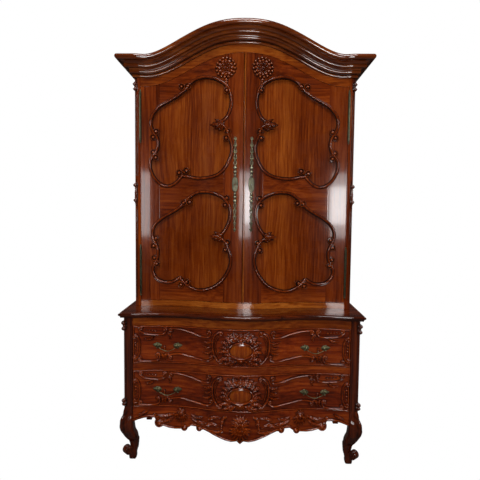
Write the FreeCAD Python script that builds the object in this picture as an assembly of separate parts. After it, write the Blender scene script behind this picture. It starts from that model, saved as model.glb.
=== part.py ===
import FreeCAD, Part
import math
import os

# A two-part linen press: a cupboard with two shaped doors and an arched cornice,
# standing on a chest of two wide drawers with a carved apron and cabriole legs.
# X runs to the right, Y to the back and Z up. The origin lies on the floor,
# midway between the sides and between the front and the back.

Vector = FreeCAD.Vector

# overall size
overall_height = 2412.0
overall_depth = 605.0
upper_half_width = 623.0
chest_side_step = 18.0
upper_setback = 197.6

# serpentine plan line shared by every front, as shares of the cupboard's half width
crest_radius_share = 1.1236
trough_radius_share = 1.2841
ear_radius_share = 0.1605
trough_place_share = 0.6742
ear_reach_share = 0.2648

# heights of the chest, from its board downwards
board_level = 836.0
board_thickness = 26.0
board_front_overhang = 31.0
board_side_overhang = 23.0
board_bead_height = 8.0
board_bead_setback = 8.0
board_rounding = 7.0
frieze_rail_height = 48.0
upper_drawer_opening = 210.0
divider_height = 38.0
lower_drawer_opening = 208.0
rail_depth = 30.0

# legs and posts of the chest
lower_post_width = 49.0
post_rounding = 10.0
knee_reach = 22.0
back_leg_width = 48.0
back_foot_width = 34.0
whorl_radius = 23.0
whorl_length = 34.0
whorl_level = 57.0
whorl_offset = 23.5

# boards of the chest
apron_thickness = 24.0
apron_drop = 175.0
side_thickness = 18.0
side_inset = 5.0
back_thickness = 12.0
back_inset = 4.0
dust_board_thickness = 10.0
dust_board_gap = 8.0
runner_width = 34.0
runner_height = 20.0

# drawers
drawer_side_gap = 1.5
drawer_front_gap = 2.0
drawer_running_gap = 0.5
drawer_front_thickness = 22.0
drawer_wall = 14.0
drawer_wall_drop = 28.0
drawer_back_wall = 12.0
drawer_back_room = 38.0
drawer_bottom_thickness = 8.0
drawer_bottom_lift = 10.0
drawer_groove = 5.0
drawer_scroll_width = 11.0
drawer_scroll_proud = 5.0
cartouche_half_width = 72.0
cartouche_half_height = 36.0

# drawer pulls
pull_place_share = 0.6824
pull_spacing = 97.0
pull_drop = 6.0
rose_radius = 12.0
rose_thickness = 3.0
rose_bed = 1.3
pull_post_radius = 4.0
pull_head_radius = 7.0
pull_projection = 14.0
pull_shank_radius = 2.5
pull_nut_radius = 7.0
pull_nut_thickness = 4.0
bail_radius = 2.6
bail_bow_radius = 26.0
bail_turn_radius = 8.0
bail_fit = 0.05

# cupboard frame
upper_post_width = 37.0
upper_post_depth = 55.0
post_cant = 22.0
upper_side_thickness = 18.0
upper_side_inset = 4.0
base_strip_height = 32.0
front_thickness = 24.0
bottom_thickness = 18.0
roof_thickness = 14.0
upper_back_thickness = 12.0
upper_back_inset = 2.0
back_board_count = 4
back_board_gap = 1.0
shelf_thickness = 20.0
shelf_front_setback = 66.0
shelf_shares = (0.34, 0.67)
cleat_size = 22.0

# arched frieze and cornice
arch_half_share = 0.9069
arch_rise = 170.0
arch_power_share = 1.25
arch_facets = 12
door_frieze_height = 45.0
cornice_height = 107.0
cornice_projection = 86.0
cornice_back = 16.0
seat_gap = 0.3

# doors
door_gap = 1.5
door_foot_gap = 2.0
hinge_stile_width = 104.0
meeting_stile_width = 107.0
rebate_depth = 12.0
rebate_margin = 28.0
panel_thickness = 9.0
moulding_width = 15.0
moulding_proud = 7.0
scroll_eye_radius = 11.0
scroll_eye_proud = 10.0
meeting_bead_width = 9.0
meeting_bead_proud = 5.0

# barrel hinges
hinge_radius = 7.0
hinge_pin_radius = 3.0
hinge_fit = 0.05
hinge_leaf_thickness = 2.0
hinge_leaf_depth = 20.0
hinge_finial_radius = 5.0
hinge_knuckle_gap = 0.3
# length, leaf length and levels, as shares of the hinge stile's height
hinge_length_share = 0.213
hinge_leaf_share = 0.090
upper_hinge_share = 0.860
lower_hinge_share = 0.1436

# escutcheon plates, lock and bolts
plate_place_share = 0.0738363
plate_length = 530.0
plate_half_width_share = 0.0272873
plate_thickness = 1.6
plate_level_share = 0.482
keyhole_radius = 3.5
keyhole_slot = 11.0
lock_panel_gap = 2.0
lock_height = 84.0
lock_thickness = 12.0
lock_setback = 7.0
lock_wall = 2.0
lock_bolt_length = 34.0
lock_bolt_height = 20.0
lock_bolt_travel = 12.0
lock_fit = 0.3
strike_room = 1.0
bolt_place = 30.0
bolt_width = 12.0
bolt_thickness = 5.0
bolt_length = 190.0
bolt_standoff = 6.0
bolt_guide_length = 16.0
bolt_guide_wall = 2.0
bolt_guide_share = 0.2
bolt_fit = 0.3
bolt_knob_radius = 5.0
bolt_knob_length = 9.0

# one overrun serves all cuts
overrun = 40.0

# straight facets that stand for one round run, so that repeated ornament stays light
facet_length = 37.0
plate_facets = 3
bead_facets = 3
bow_facets = 9
bail_turn_facets = 3
leg_facets = 10
ring_facets = 16
rod_sides = 6
barrel_sides = 8

# levels and planes worked out from the sizes above
lower_half_width = upper_half_width + chest_side_step
crest_radius = upper_half_width * crest_radius_share
trough_radius = upper_half_width * trough_radius_share
ear_radius = upper_half_width * ear_radius_share
trough_place = upper_half_width * trough_place_share
ear_reach = upper_half_width * ear_reach_share
arch_half = upper_half_width * arch_half_share
board_underside = board_level - board_thickness
upper_opening_top = board_underside - frieze_rail_height
upper_opening_foot = upper_opening_top - upper_drawer_opening
lower_opening_top = upper_opening_foot - divider_height
apron_level = lower_opening_top - lower_drawer_opening
back_plane = overall_depth / 2
board_front = -overall_depth / 2
lower_front = board_front + board_front_overhang
upper_front = board_front + upper_setback
door_crest = overall_height - cornice_height - door_frieze_height
door_foot = board_level + base_strip_height + door_foot_gap
door_span = door_crest - door_foot
post_inner = upper_half_width - upper_post_width
door_edge = post_inner - door_gap
bay_half = lower_half_width - lower_post_width
pull_place = bay_half * pull_place_share
chest_back_front = back_plane - back_inset - back_thickness
stile_height = door_span - arch_rise
hinge_length = stile_height * hinge_length_share
hinge_leaf_length = stile_height * hinge_leaf_share

# plan line: a convex crest, a hollow trough each side and a small ear at each corner
wave_turn = math.asin(trough_place / (crest_radius + trough_radius))
ear_turn = math.asin(ear_reach / trough_radius)
trough_centre_y = crest_radius - (crest_radius + trough_radius) * math.cos(wave_turn)
ear_centre_x = trough_place + (trough_radius + ear_radius) * math.sin(ear_turn)
ear_centre_y = trough_centre_y + (trough_radius + ear_radius) * math.cos(ear_turn)
ear_depth = ear_centre_y - ear_radius
lower_corner = lower_front + ear_depth
upper_corner = upper_front + ear_depth


def box(x_range, y_range, z_range):
    size = (x_range[1] - x_range[0], y_range[1] - y_range[0], z_range[1] - z_range[0])
    return Part.makeBox(size[0], size[1], size[2], Vector(x_range[0], y_range[0], z_range[0]))


def mirrored(shape):
    return shape.mirror(Vector(0, 0, 0), Vector(1, 0, 0))


def both(shape):
    return [shape, mirrored(shape)]


def fuse(shapes):
    return shapes[0].fuse(shapes[1:])


def closed_face(edges):
    return Part.Face(Part.Wire(Part.__sortEdges__(edges)))


def skin(sections, capped):
    """A solid with flat facets through sections of equally many corners."""
    count = len(sections[0])
    pairs = list(zip(sections, sections[1:]))
    if not capped:
        pairs.append((sections[-1], sections[0]))
    loops = []
    for near, far in pairs:
        for index in range(count):
            after = (index + 1) % count
            loops.append([near[index], near[after], far[after]])
            loops.append([near[index], far[after], far[index]])
    for section in (sections[0], sections[-1]) if capped else ():
        centre = sum(section, Vector()) * (1 / count)
        for index in range(count):
            loops.append([section[index], section[(index + 1) % count], centre])
    faces = [Part.Face(Part.makePolygon(loop + loop[:1])) for loop in loops]
    solid = Part.Solid(Part.Shell(faces))
    return solid if solid.Volume > 0 else solid.reversed()


def ring(centre, first, second, radius, sides):
    """Corners of a regular polygon, spanned by two unit vectors."""
    corners = []
    for side in range(sides):
        turn = 2 * math.pi * side / sides
        corners.append(centre + first * (radius * math.cos(turn)) + second * (radius * math.sin(turn)))
    return corners


def rod(start, end, radii, sides):
    """A straight rod with flat sides, of one radius at its start and another at its end."""
    along = (end - start).normalize()
    first = Vector(along.y, along.z, along.x)
    first = (first - along * first.dot(along)).normalize()
    second = along.cross(first)
    ends = [Part.makePolygon(corners + corners[:1])
            for corners in (ring(start, first, second, radii[0], sides),
                            ring(end, first, second, radii[1], sides))]
    if radii[0] == radii[1]:
        return Part.Face(ends[0]).extrude(end - start)
    return Part.makeLoft(ends, True, True)


def plan_depth(x, out):
    """Y of the plan line at x, from its crest, with the line moved outwards by out."""
    x = abs(x)
    if x <= (crest_radius + out) * math.sin(wave_turn):
        return crest_radius - math.sqrt((crest_radius + out) ** 2 - x ** 2)
    if x <= trough_place + (trough_radius - out) * math.sin(ear_turn):
        return trough_centre_y + math.sqrt((trough_radius - out) ** 2 - (x - trough_place) ** 2)
    if x <= ear_centre_x:
        return ear_centre_y - math.sqrt((ear_radius + out) ** 2 - (ear_centre_x - x) ** 2)
    return ear_depth - out


def plan_edges(front, out, half, z):
    """Tangent arcs of the plan line from -half to half, with end lines beyond the ears."""
    joints = [
        ear_centre_x,
        trough_place + (trough_radius - out) * math.sin(ear_turn),
        (crest_radius + out) * math.sin(wave_turn),
    ]
    places = [half] + [x for x in joints if x < half]
    places = [-x for x in places] + places[::-1]

    def point(x):
        return Vector(x, front + plan_depth(x, out), z)

    edges = []
    for start, end in zip(places, places[1:]):
        middle = (start + end) / 2
        if abs(middle) > ear_centre_x:
            edges.append(Part.makeLine(point(start), point(end)))
        else:
            edges.append(Part.Arc(point(start), point(middle), point(end)).toShape())
    return edges


def shell(front, out, inner, half, z_range):
    """A curved board between two offsets of the plan line."""
    outer_edges = plan_edges(front, out, half, z_range[0])
    inner_edges = plan_edges(front, inner, half, z_range[0])
    ends = [
        Part.makeLine(outer_edges[0].Vertexes[0].Point, inner_edges[0].Vertexes[0].Point),
        Part.makeLine(outer_edges[-1].Vertexes[-1].Point, inner_edges[-1].Vertexes[-1].Point),
    ]
    face = closed_face(outer_edges + inner_edges + ends)
    return face.extrude(Vector(0, 0, z_range[1] - z_range[0]))


def plan_board(front, out, back, half, z_range):
    """A flat board with the plan line as its front edge and a straight back."""
    edges = plan_edges(front, out, half, z_range[0])
    left = edges[0].Vertexes[0].Point
    right = edges[-1].Vertexes[-1].Point
    corner_left = Vector(-half, back, z_range[0])
    corner_right = Vector(half, back, z_range[0])
    edges.append(Part.makeLine(left, corner_left))
    edges.append(Part.makeLine(corner_left, corner_right))
    edges.append(Part.makeLine(corner_right, right))
    return closed_face(edges).extrude(Vector(0, 0, z_range[1] - z_range[0]))


def front_prism(edges):
    """A closed outline in the front plane, carried from before the front to behind the back."""
    face = closed_face(edges)
    return face.extrude(Vector(0, 4 * overall_depth, 0))


def front_point(x, z):
    return Vector(x, -2 * overall_depth, z)


def door_line(x):
    """Height of the top line of the doors: a cosine wave drawn in towards the middle."""
    share = min(abs(x) / arch_half, 1.0)
    fall = (1 - math.cos(math.pi * share ** arch_power_share)) / 2
    return door_crest - arch_rise * fall


def door_line_slope(x):
    share = min(abs(x) / arch_half, 1.0)
    if share in (0.0, 1.0):
        return 0.0
    phase = math.pi * share ** arch_power_share
    steepness = math.sin(phase) / 2 * math.pi * arch_power_share * share ** (arch_power_share - 1)
    return -math.copysign(arch_rise * steepness / arch_half, x)


def facet_line(x):
    """Height of the faceted door line, which is straight between its stations."""
    pitch = arch_half / arch_facets
    step = min(math.floor(abs(x) / pitch), arch_facets)
    near, far = door_line(step * pitch), door_line((step + 1) * pitch)
    return near + (far - near) * (abs(x) / pitch - step)


def arch_stations(start, end):
    """Places of the door line's stations between two places, with the two places themselves."""
    pitch = arch_half / arch_facets
    steps = [pitch * step for step in range(-arch_facets, arch_facets + 1)]
    return [start] + [x for x in steps if start < x < end] + [end]


def arch_edges(start, end, lift):
    """The faceted door line between two places, flat beyond the arch."""
    return chain([front_point(x, facet_line(x) + lift) for x in arch_stations(start, end)])


def under_arch(x_range, foot, lift):
    """Everything between a level and the door line moved up by lift."""
    start, end = x_range
    edges = arch_edges(start, end, lift)
    top_left = front_point(start, facet_line(start) + lift)
    top_right = front_point(end, facet_line(end) + lift)
    edges.append(Part.makeLine(top_left, front_point(start, foot)))
    edges.append(Part.makeLine(front_point(start, foot), front_point(end, foot)))
    edges.append(Part.makeLine(front_point(end, foot), top_right))
    return front_prism(edges)


def arch_band(x_range, lift_low, lift_high):
    """The band between two copies of the door line."""
    start, end = x_range
    edges = arch_edges(start, end, lift_low) + arch_edges(start, end, lift_high)
    for x in (start, end):
        low = front_point(x, facet_line(x) + lift_low)
        edges.append(Part.makeLine(low, front_point(x, facet_line(x) + lift_high)))
    return front_prism(edges)


def chain(points):
    """Straight edges through a list of points."""
    return [Part.makeLine(start, end) for start, end in zip(points, points[1:])]


def smooth_run(points, facets):
    """Points evenly spread along the smooth curve through a few points, with the way it runs."""
    if len(points) == 2:
        along = (points[1] - points[0]).normalize()
        return [(point, along) for point in points]
    curve = Part.BSplineCurve()
    curve.interpolate(points)
    first, last = curve.FirstParameter, curve.LastParameter
    places = [first + (last - first) * step / facets for step in range(facets + 1)]
    return [(curve.value(place), curve.tangent(place)[0]) for place in places]


def facet_count(points):
    """Facets for a run, so that none is longer than the facet length."""
    length = sum((end - start).Length for start, end in zip(points, points[1:]))
    return math.ceil(length / facet_length)


def smooth_chain(points):
    """Straight edges along the smooth curve through a few points."""
    return chain([point for point, along in smooth_run(points, facet_count(points))])


def ribbon(points, width, proud, front):
    """A planted moulding of bevelled section along a smooth run, bedded on a curved front."""
    run = smooth_run(points, facet_count(points))
    sections = []
    for index, (centre, along) in enumerate(run):
        swell = end_swell if index in (0, len(run) - 1) else 1.0
        across = Vector(-along.z, 0, along.x)
        section = []
        for width_share, proud_share in moulding_shares:
            place = centre + across * (width * swell * width_share)
            out = seat_gap + (proud - seat_gap) * swell * proud_share
            section.append(Vector(place.x, front + plan_depth(place.x, out), place.z))
        sections.append(section)
    return skin(sections, True)


def boss(centre, radius, proud, front):
    """A low round boss bedded on a curved front."""
    sections = []
    for radius_share, proud_share in boss_shares:
        corners = ring(centre, Vector(1, 0, 0), Vector(0, 0, 1), radius * radius_share, rod_sides)
        out = seat_gap + (proud - seat_gap) * proud_share
        sections.append([Vector(corner.x, front + plan_depth(corner.x, out), corner.z)
                         for corner in corners])
    return skin(sections, True)


# half section of a planted moulding and of a boss: shares of its width and of its height
moulding_shares = ((0.50, 0.0), (0.24, 1.0), (-0.24, 1.0), (-0.50, 0.0))
boss_shares = ((1.0, 0.0), (0.7, 1.0))
end_swell = 0.6


# doors

# Outline of each field, as curved runs that meet in cusps where the scrolls curl.
# Each point is a share of the door's width and a share of its height.
upper_field_shares = (
    ((0.137, 0.857), (0.165, 0.872), (0.215, 0.889), (0.300, 0.906), (0.385, 0.912), (0.455, 0.907),
     (0.515, 0.893), (0.560, 0.870)),
    ((0.560, 0.870), (0.605, 0.854), (0.670, 0.836), (0.757, 0.815), (0.820, 0.799), (0.872, 0.775),
     (0.906, 0.744), (0.904, 0.716), (0.875, 0.688)),
    ((0.875, 0.688), (0.843, 0.666), (0.838, 0.648), (0.845, 0.628), (0.875, 0.604)),
    ((0.875, 0.604), (0.910, 0.580), (0.914, 0.551), (0.893, 0.522), (0.838, 0.490), (0.762, 0.474),
     (0.685, 0.482), (0.602, 0.517)),
    ((0.602, 0.517), (0.548, 0.514), (0.460, 0.507), (0.360, 0.508), (0.262, 0.518), (0.190, 0.540),
     (0.138, 0.576), (0.110, 0.612), (0.115, 0.645), (0.150, 0.682)),
    ((0.150, 0.682), (0.172, 0.706), (0.215, 0.719), (0.300, 0.722)),
    ((0.300, 0.722), (0.215, 0.731), (0.165, 0.748), (0.131, 0.778), (0.118, 0.815), (0.137, 0.857)),
)
lower_field_shares = (
    ((0.137, 0.400), (0.175, 0.421), (0.262, 0.443), (0.362, 0.452), (0.463, 0.447), (0.555, 0.420)),
    ((0.555, 0.420), (0.620, 0.390), (0.708, 0.366), (0.798, 0.343), (0.858, 0.321), (0.893, 0.291),
     (0.892, 0.264), (0.862, 0.236)),
    ((0.862, 0.236), (0.843, 0.213), (0.841, 0.196), (0.846, 0.178), (0.868, 0.154)),
    ((0.868, 0.154), (0.890, 0.136), (0.883, 0.112), (0.848, 0.089), (0.782, 0.076), (0.690, 0.078),
     (0.622, 0.096)),
    ((0.622, 0.096), (0.570, 0.072), (0.500, 0.052), (0.420, 0.045), (0.335, 0.052), (0.250, 0.070),
     (0.185, 0.097), (0.138, 0.130), (0.114, 0.162), (0.118, 0.194), (0.150, 0.230)),
    ((0.150, 0.230), (0.172, 0.251), (0.215, 0.262), (0.300, 0.266)),
    ((0.300, 0.266), (0.215, 0.277), (0.165, 0.301), (0.128, 0.340), (0.120, 0.372), (0.137, 0.400)),
)
leaf_tip_share = 0.300
# bounds of the rails and of the two panels, as shares of the door's height
top_rail_share = 0.790
mid_rail_shares = (0.330, 0.570)
bottom_rail_share = 0.110
panel_side_shares = (0.095, 0.935)
upper_panel_shares = (0.463, 0.935)
lower_panel_shares = (0.025, 0.461)


def door_place(shares):
    return front_point(door_edge * shares[0], door_foot + door_span * shares[1])


def field_cutter(table):
    edges = []
    for run in table:
        edges += smooth_chain([door_place(shares) for shares in run])
    return front_prism(edges)


def door_board(out, inner, x_range, lift):
    """A part of the right door leaf between two offsets and two upright lines."""
    curved = shell(upper_front, out, inner, upper_half_width, (door_foot, overall_height))
    return curved.common(under_arch(x_range, door_foot, lift))


def band_between(x_range, shares):
    levels = [door_foot + door_span * share for share in shares]
    y_range = (-overall_depth, overall_depth)
    return box(x_range, y_range, levels)


meeting_edge = door_gap
meeting_inner = meeting_edge + meeting_stile_width
hinge_inner = door_edge - hinge_stile_width
hinge_levels = [door_foot + stile_height * share for share in (upper_hinge_share, lower_hinge_share)]
hinge_x = (door_edge + post_inner) / 2
hinge_y = upper_corner - hinge_radius - seat_gap
lock_level = door_foot + door_span * plate_level_share
lock_front = upper_front + lock_setback
plate_place = upper_half_width * plate_place_share
plate_half_width = upper_half_width * plate_half_width_share
lock_end = door_edge * panel_side_shares[0] - lock_panel_gap


def hinge_leaf(side, z_range):
    """A leaf that runs from the barrel straight back into the wood, on one side of the joint."""
    middle = hinge_x + side * (hinge_leaf_thickness + door_gap) / 2
    half = hinge_leaf_thickness / 2
    return box((middle - half, middle + half), (hinge_y, upper_corner + hinge_leaf_depth), z_range)


def hinge_leaf_room(side, z_range):
    leaf = hinge_leaf(side, z_range)
    return leaf.common(box((0, overall_depth * 2), (upper_corner - overrun, overall_depth),
                           (0, overall_height)))


def hinge_pieces(level):
    """Case half with its pin, and door half with its bore, of one barrel hinge."""
    foot = level - hinge_length / 2
    case_leaf_range = (level - hinge_knuckle_gap - hinge_leaf_length, level - hinge_knuckle_gap)
    door_leaf_range = (level + hinge_knuckle_gap, level + hinge_knuckle_gap + hinge_leaf_length)
    half_length = hinge_length / 2 - hinge_knuckle_gap / 2
    barrel_radii = (hinge_radius, hinge_radius)
    finial_radii = (hinge_finial_radius, hinge_pin_radius)

    def place(z):
        return Vector(hinge_x, hinge_y, z)

    case_barrel = rod(place(foot), place(foot + half_length), barrel_radii, barrel_sides)
    finial_low = rod(place(foot), place(foot - hinge_finial_radius), finial_radii, barrel_sides)
    pin_length = hinge_length - hinge_radius
    pin = Part.makeCylinder(hinge_pin_radius, pin_length, place(foot))
    case_half = fuse([case_barrel, finial_low, pin, hinge_leaf(1, case_leaf_range)])
    door_foot_level = level + hinge_knuckle_gap / 2
    top = door_foot_level + half_length
    door_barrel = rod(place(door_foot_level), place(top), barrel_radii, barrel_sides)
    finial_high = rod(place(top), place(top + hinge_finial_radius), finial_radii, barrel_sides)
    bore_length = pin_length - hinge_length / 2 + hinge_fit
    bore = Part.makeCylinder(hinge_pin_radius + hinge_fit, bore_length, place(level))
    leaf = hinge_leaf(-1, door_leaf_range)
    door_half = fuse([door_barrel, finial_high, leaf]).cut(bore)
    return case_half, door_half


def moulding_group(table):
    """Scroll mouldings planted round one field, with a boss wherever two of them curl away."""
    pieces = []
    for run in table:
        points = [door_place(shares) for shares in run]
        pieces.append(ribbon(points, moulding_width, moulding_proud, upper_front))
        if run[0][0] != leaf_tip_share:
            pieces.append(boss(points[0], scroll_eye_radius, scroll_eye_proud, upper_front))
    return fuse(pieces)


def lock_box(grow):
    z_half = lock_height / 2 + grow
    return box((meeting_edge, lock_end + grow),
               (lock_front - grow, lock_front + lock_thickness + grow),
               (lock_level - z_half, lock_level + z_half))


def lock_bolt_box(fit, reach):
    """The bolt at rest, grown by a fit and drawn out towards the other door by a reach."""
    middle = lock_front + lock_thickness / 2
    half = lock_thickness / 2 - lock_wall - lock_fit + fit
    z_half = lock_bolt_height / 2 + fit
    start = meeting_edge + lock_fit
    return box((start - reach, start + lock_bolt_length + fit), (middle - half, middle + half),
               (lock_level - z_half, lock_level + z_half))


def keyhole():
    """A round eye with a slot below it, cut through the plate and the stile to the lock."""
    depth = lock_front + lock_thickness / 2 - (upper_front - overrun)
    eye = Part.makeCylinder(keyhole_radius, depth,
                            Vector(plate_place, upper_front - overrun, lock_level), Vector(0, 1, 0))
    slot_half = keyhole_radius / 2
    slot = box((plate_place - slot_half, plate_place + slot_half),
               (upper_front - overrun, lock_front + lock_thickness / 2),
               (lock_level - keyhole_slot, lock_level))
    return fuse([eye, slot])


# half outline of an escutcheon plate from its middle to its tip: shares of its half width
# and of its half length
plate_shares = (
    ((1.00, 0.00), (0.92, 0.06), (0.62, 0.13), (0.34, 0.17)),
    ((0.34, 0.17), (0.55, 0.21), (0.42, 0.27), (0.26, 0.36), (0.32, 0.47), (0.22, 0.56)),
    ((0.22, 0.56), (0.40, 0.61), (0.36, 0.68), (0.20, 0.76), (0.24, 0.86), (0.12, 0.95)),
    ((0.12, 0.95), (0.05, 1.00)),
)


def make_plate():
    """A long cast plate, bent to the door's face, as narrow sections from tip to tip."""
    half_outline = []
    for run in plate_shares:
        points = [Vector(plate_half_width * x, 0, plate_length / 2 * z) for x, z in run]
        half_outline += [point for point, along in smooth_run(points, plate_facets)][:-1]
    half_outline.append(points[-1])
    lower = [Vector(point.x, 0, -point.z) for point in half_outline[:0:-1]]
    sections = []
    for point in lower + half_outline:
        section = []
        for side, out in ((-1, seat_gap), (1, seat_gap), (1, plate_thickness), (-1, plate_thickness)):
            x = plate_place + side * point.x
            section.append(Vector(x, upper_front + plan_depth(x, out), lock_level + point.z))
        sections.append(section)
    return skin(sections, True)


def make_door():
    """All pieces of the right door, without the ones that only one door has."""
    clear = -door_foot_gap
    upper_cut = field_cutter(upper_field_shares)
    lower_cut = field_cutter(lower_field_shares)
    openings = [upper_cut, lower_cut]
    panel_x = [door_edge * share for share in panel_side_shares]
    rebates = []
    panels = []
    for shares in (upper_panel_shares, lower_panel_shares):
        zone = band_between(panel_x, shares)
        rebate = shell(upper_front, -rebate_depth, -front_thickness - overrun, upper_half_width,
                       (0, overall_height)).common(zone)
        board = shell(upper_front, -rebate_depth, -rebate_depth - panel_thickness, upper_half_width,
                      (0, overall_height)).common(zone)
        arched = under_arch((0, upper_half_width), 0, clear - rebate_margin)
        rebates.append(rebate.common(arched))
        panels.append(board.common(arched))
    cuts = openings + rebates

    meeting_stile = door_board(0, -front_thickness, (meeting_edge, meeting_inner), clear).cut(cuts)
    hinge_stile = door_board(0, -front_thickness, (hinge_inner, door_edge), clear).cut(cuts)
    between = door_board(0, -front_thickness, (meeting_inner, hinge_inner), clear)
    rail_x = (meeting_inner, hinge_inner)
    rails = []
    for shares in ((top_rail_share, 1.0), mid_rail_shares, (0.0, bottom_rail_share)):
        rails.append(between.common(band_between(rail_x, shares)).cut(cuts))

    hinges = [hinge_pieces(level) for level in hinge_levels]
    for level in hinge_levels:
        leaf_range = (level + hinge_knuckle_gap, level + hinge_knuckle_gap + hinge_leaf_length)
        hinge_stile = hinge_stile.cut(hinge_leaf_room(-1, leaf_range))

    mouldings = [moulding_group(upper_field_shares), moulding_group(lower_field_shares)]
    return {
        "meeting_stile": meeting_stile,
        "hinge_stile": hinge_stile,
        "rails": rails,
        "panels": panels,
        "mouldings": mouldings,
        "plate": make_plate(),
        "hinge_case": [hinge[0] for hinge in hinges],
        "hinge_door": [hinge[1] for hinge in hinges],
    }


def flush_bolt(foot, top, knob_level):
    """A flat sliding bolt behind the left door, with a turned knob."""
    back_face = upper_front + front_thickness + plan_depth(bolt_place, 0)
    y_range = (back_face + bolt_standoff, back_face + bolt_standoff + bolt_thickness)
    half = bolt_width / 2
    bar = box((-bolt_place - half, -bolt_place + half), y_range, (foot, top))
    knob_foot = Vector(-bolt_place, y_range[1], knob_level)
    knob = rod(knob_foot, knob_foot + Vector(0, bolt_knob_length, 0),
               (bolt_knob_radius, bolt_knob_radius), rod_sides)
    return fuse([bar, knob])


def bolt_guide(level):
    """A bridge over the bolt, standing on the back of the stile."""
    back_face = upper_front + front_thickness + plan_depth(bolt_place, 0)
    half = bolt_width / 2 + bolt_fit
    outer = half + bolt_guide_wall
    z_range = (level - bolt_guide_length / 2, level + bolt_guide_length / 2)
    deep = back_face + bolt_standoff + bolt_thickness + bolt_fit
    block = box((-bolt_place - outer, -bolt_place + outer),
                (back_face - bolt_guide_wall, deep + bolt_guide_wall), z_range)
    slot = box((-bolt_place - half, -bolt_place + half),
               (back_face + bolt_standoff - bolt_fit, deep), z_range)
    stile = shell(upper_front, 0, -front_thickness, upper_half_width, (0, overall_height))
    return block.cut([slot, stile])


# cupboard

def upper_post():
    """Right front post with a canted outer corner."""
    top = door_line(upper_half_width) + door_frieze_height
    corners = [
        (post_inner, upper_corner),
        (upper_half_width - post_cant, upper_corner),
        (upper_half_width, upper_corner + post_cant),
        (upper_half_width, upper_corner + upper_post_depth),
        (post_inner, upper_corner + upper_post_depth),
    ]
    points = [Vector(x, y, board_level) for x, y in corners]
    face = Part.Face(Part.makePolygon(points + points[:1]))
    post = face.extrude(Vector(0, 0, top - board_level))
    for level in hinge_levels:
        leaf_range = (level - hinge_knuckle_gap - hinge_leaf_length, level - hinge_knuckle_gap)
        post = post.cut(hinge_leaf_room(1, leaf_range))
    return post


# cornice profile: shares of its projection and of its height, a middle point for each round run
cornice_shares = (
    ((0.000, 0.000), (0.035, 0.000)),
    ((0.035, 0.000), (0.105, 0.075), (0.035, 0.150)),
    ((0.035, 0.150), (0.140, 0.150)),
    ((0.140, 0.150), (0.140, 0.190)),
    ((0.140, 0.190), (0.250, 0.260), (0.225, 0.340)),
    ((0.225, 0.340), (0.265, 0.400), (0.375, 0.425)),
    ((0.375, 0.425), (0.420, 0.430)),
    ((0.420, 0.430), (0.545, 0.510), (0.500, 0.600)),
    ((0.500, 0.600), (0.600, 0.700), (0.815, 0.738)),
    ((0.815, 0.738), (1.000, 0.870), (0.835, 1.000)),
)
cornice_end_level = door_line(upper_half_width) + door_frieze_height + seat_gap
cornice_reach = cornice_height - seat_gap


def profile_wire(place):
    """Closed cornice section, where place turns (outward, upward) into a point."""
    outline = [(-cornice_back, cornice_reach), (-cornice_back, 0), (0, 0)]
    for run in cornice_shares:
        points = [Vector(cornice_projection * u, cornice_reach * v, 0) for u, v in run]
        if len(points) == 3:
            arc = Part.Arc(points[0], points[1], points[2])
            turns = [arc.FirstParameter + (arc.LastParameter - arc.FirstParameter) * step / bead_facets
                     for step in range(bead_facets + 1)]
            points = [arc.value(turn) for turn in turns]
        outline += [(point.x, point.y) for point in points[1:]]
    corners = [place(out, up) for out, up in outline]
    return Part.makePolygon(corners + corners[:1])


def front_station(x):
    """Section square to the arch at x, pushed out along the plan line."""
    slope = math.atan(door_line_slope(x))
    level = door_line(x) + door_frieze_height + seat_gap
    face = upper_front + plan_depth(x, 0)

    def place(out, up):
        return Vector(x - up * math.sin(slope), face - out, level + up * math.cos(slope))

    return profile_wire(place)


def mitre_wedge(keep_front):
    """The half of the corner in front of, or beside, the mitre plane of the right corner."""
    reach = 2 * overall_depth
    corner = Vector(upper_half_width, upper_corner, 0)
    out = corner + Vector(reach, -reach, 0)
    back = corner + Vector(-reach, reach, 0)
    far = Vector(-reach, -reach, 0) if keep_front else Vector(reach, reach, 0)
    points = [out, back, back + far, out + far, out]
    return Part.Face(Part.makePolygon(points)).extrude(Vector(0, 0, overall_height + overrun))


def make_cornice():
    stations = [front_station(x) for x in arch_stations(-ear_centre_x, ear_centre_x)]
    middle = Part.makeLoft(stations, True, True)
    start = Part.Face(front_station(ear_centre_x))
    run = upper_half_width + cornice_projection - ear_centre_x
    end = start.extrude(Vector(run, 0, 0)).common(mitre_wedge(True))
    front = fuse([middle, end, mirrored(end)])

    def place(out, up):
        return Vector(upper_half_width + out, back_plane, cornice_end_level + up)

    length = back_plane - upper_corner + cornice_projection
    side = Part.Face(profile_wire(place)).extrude(Vector(0, -length, 0))
    return front, side.common(mitre_wedge(False))


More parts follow.
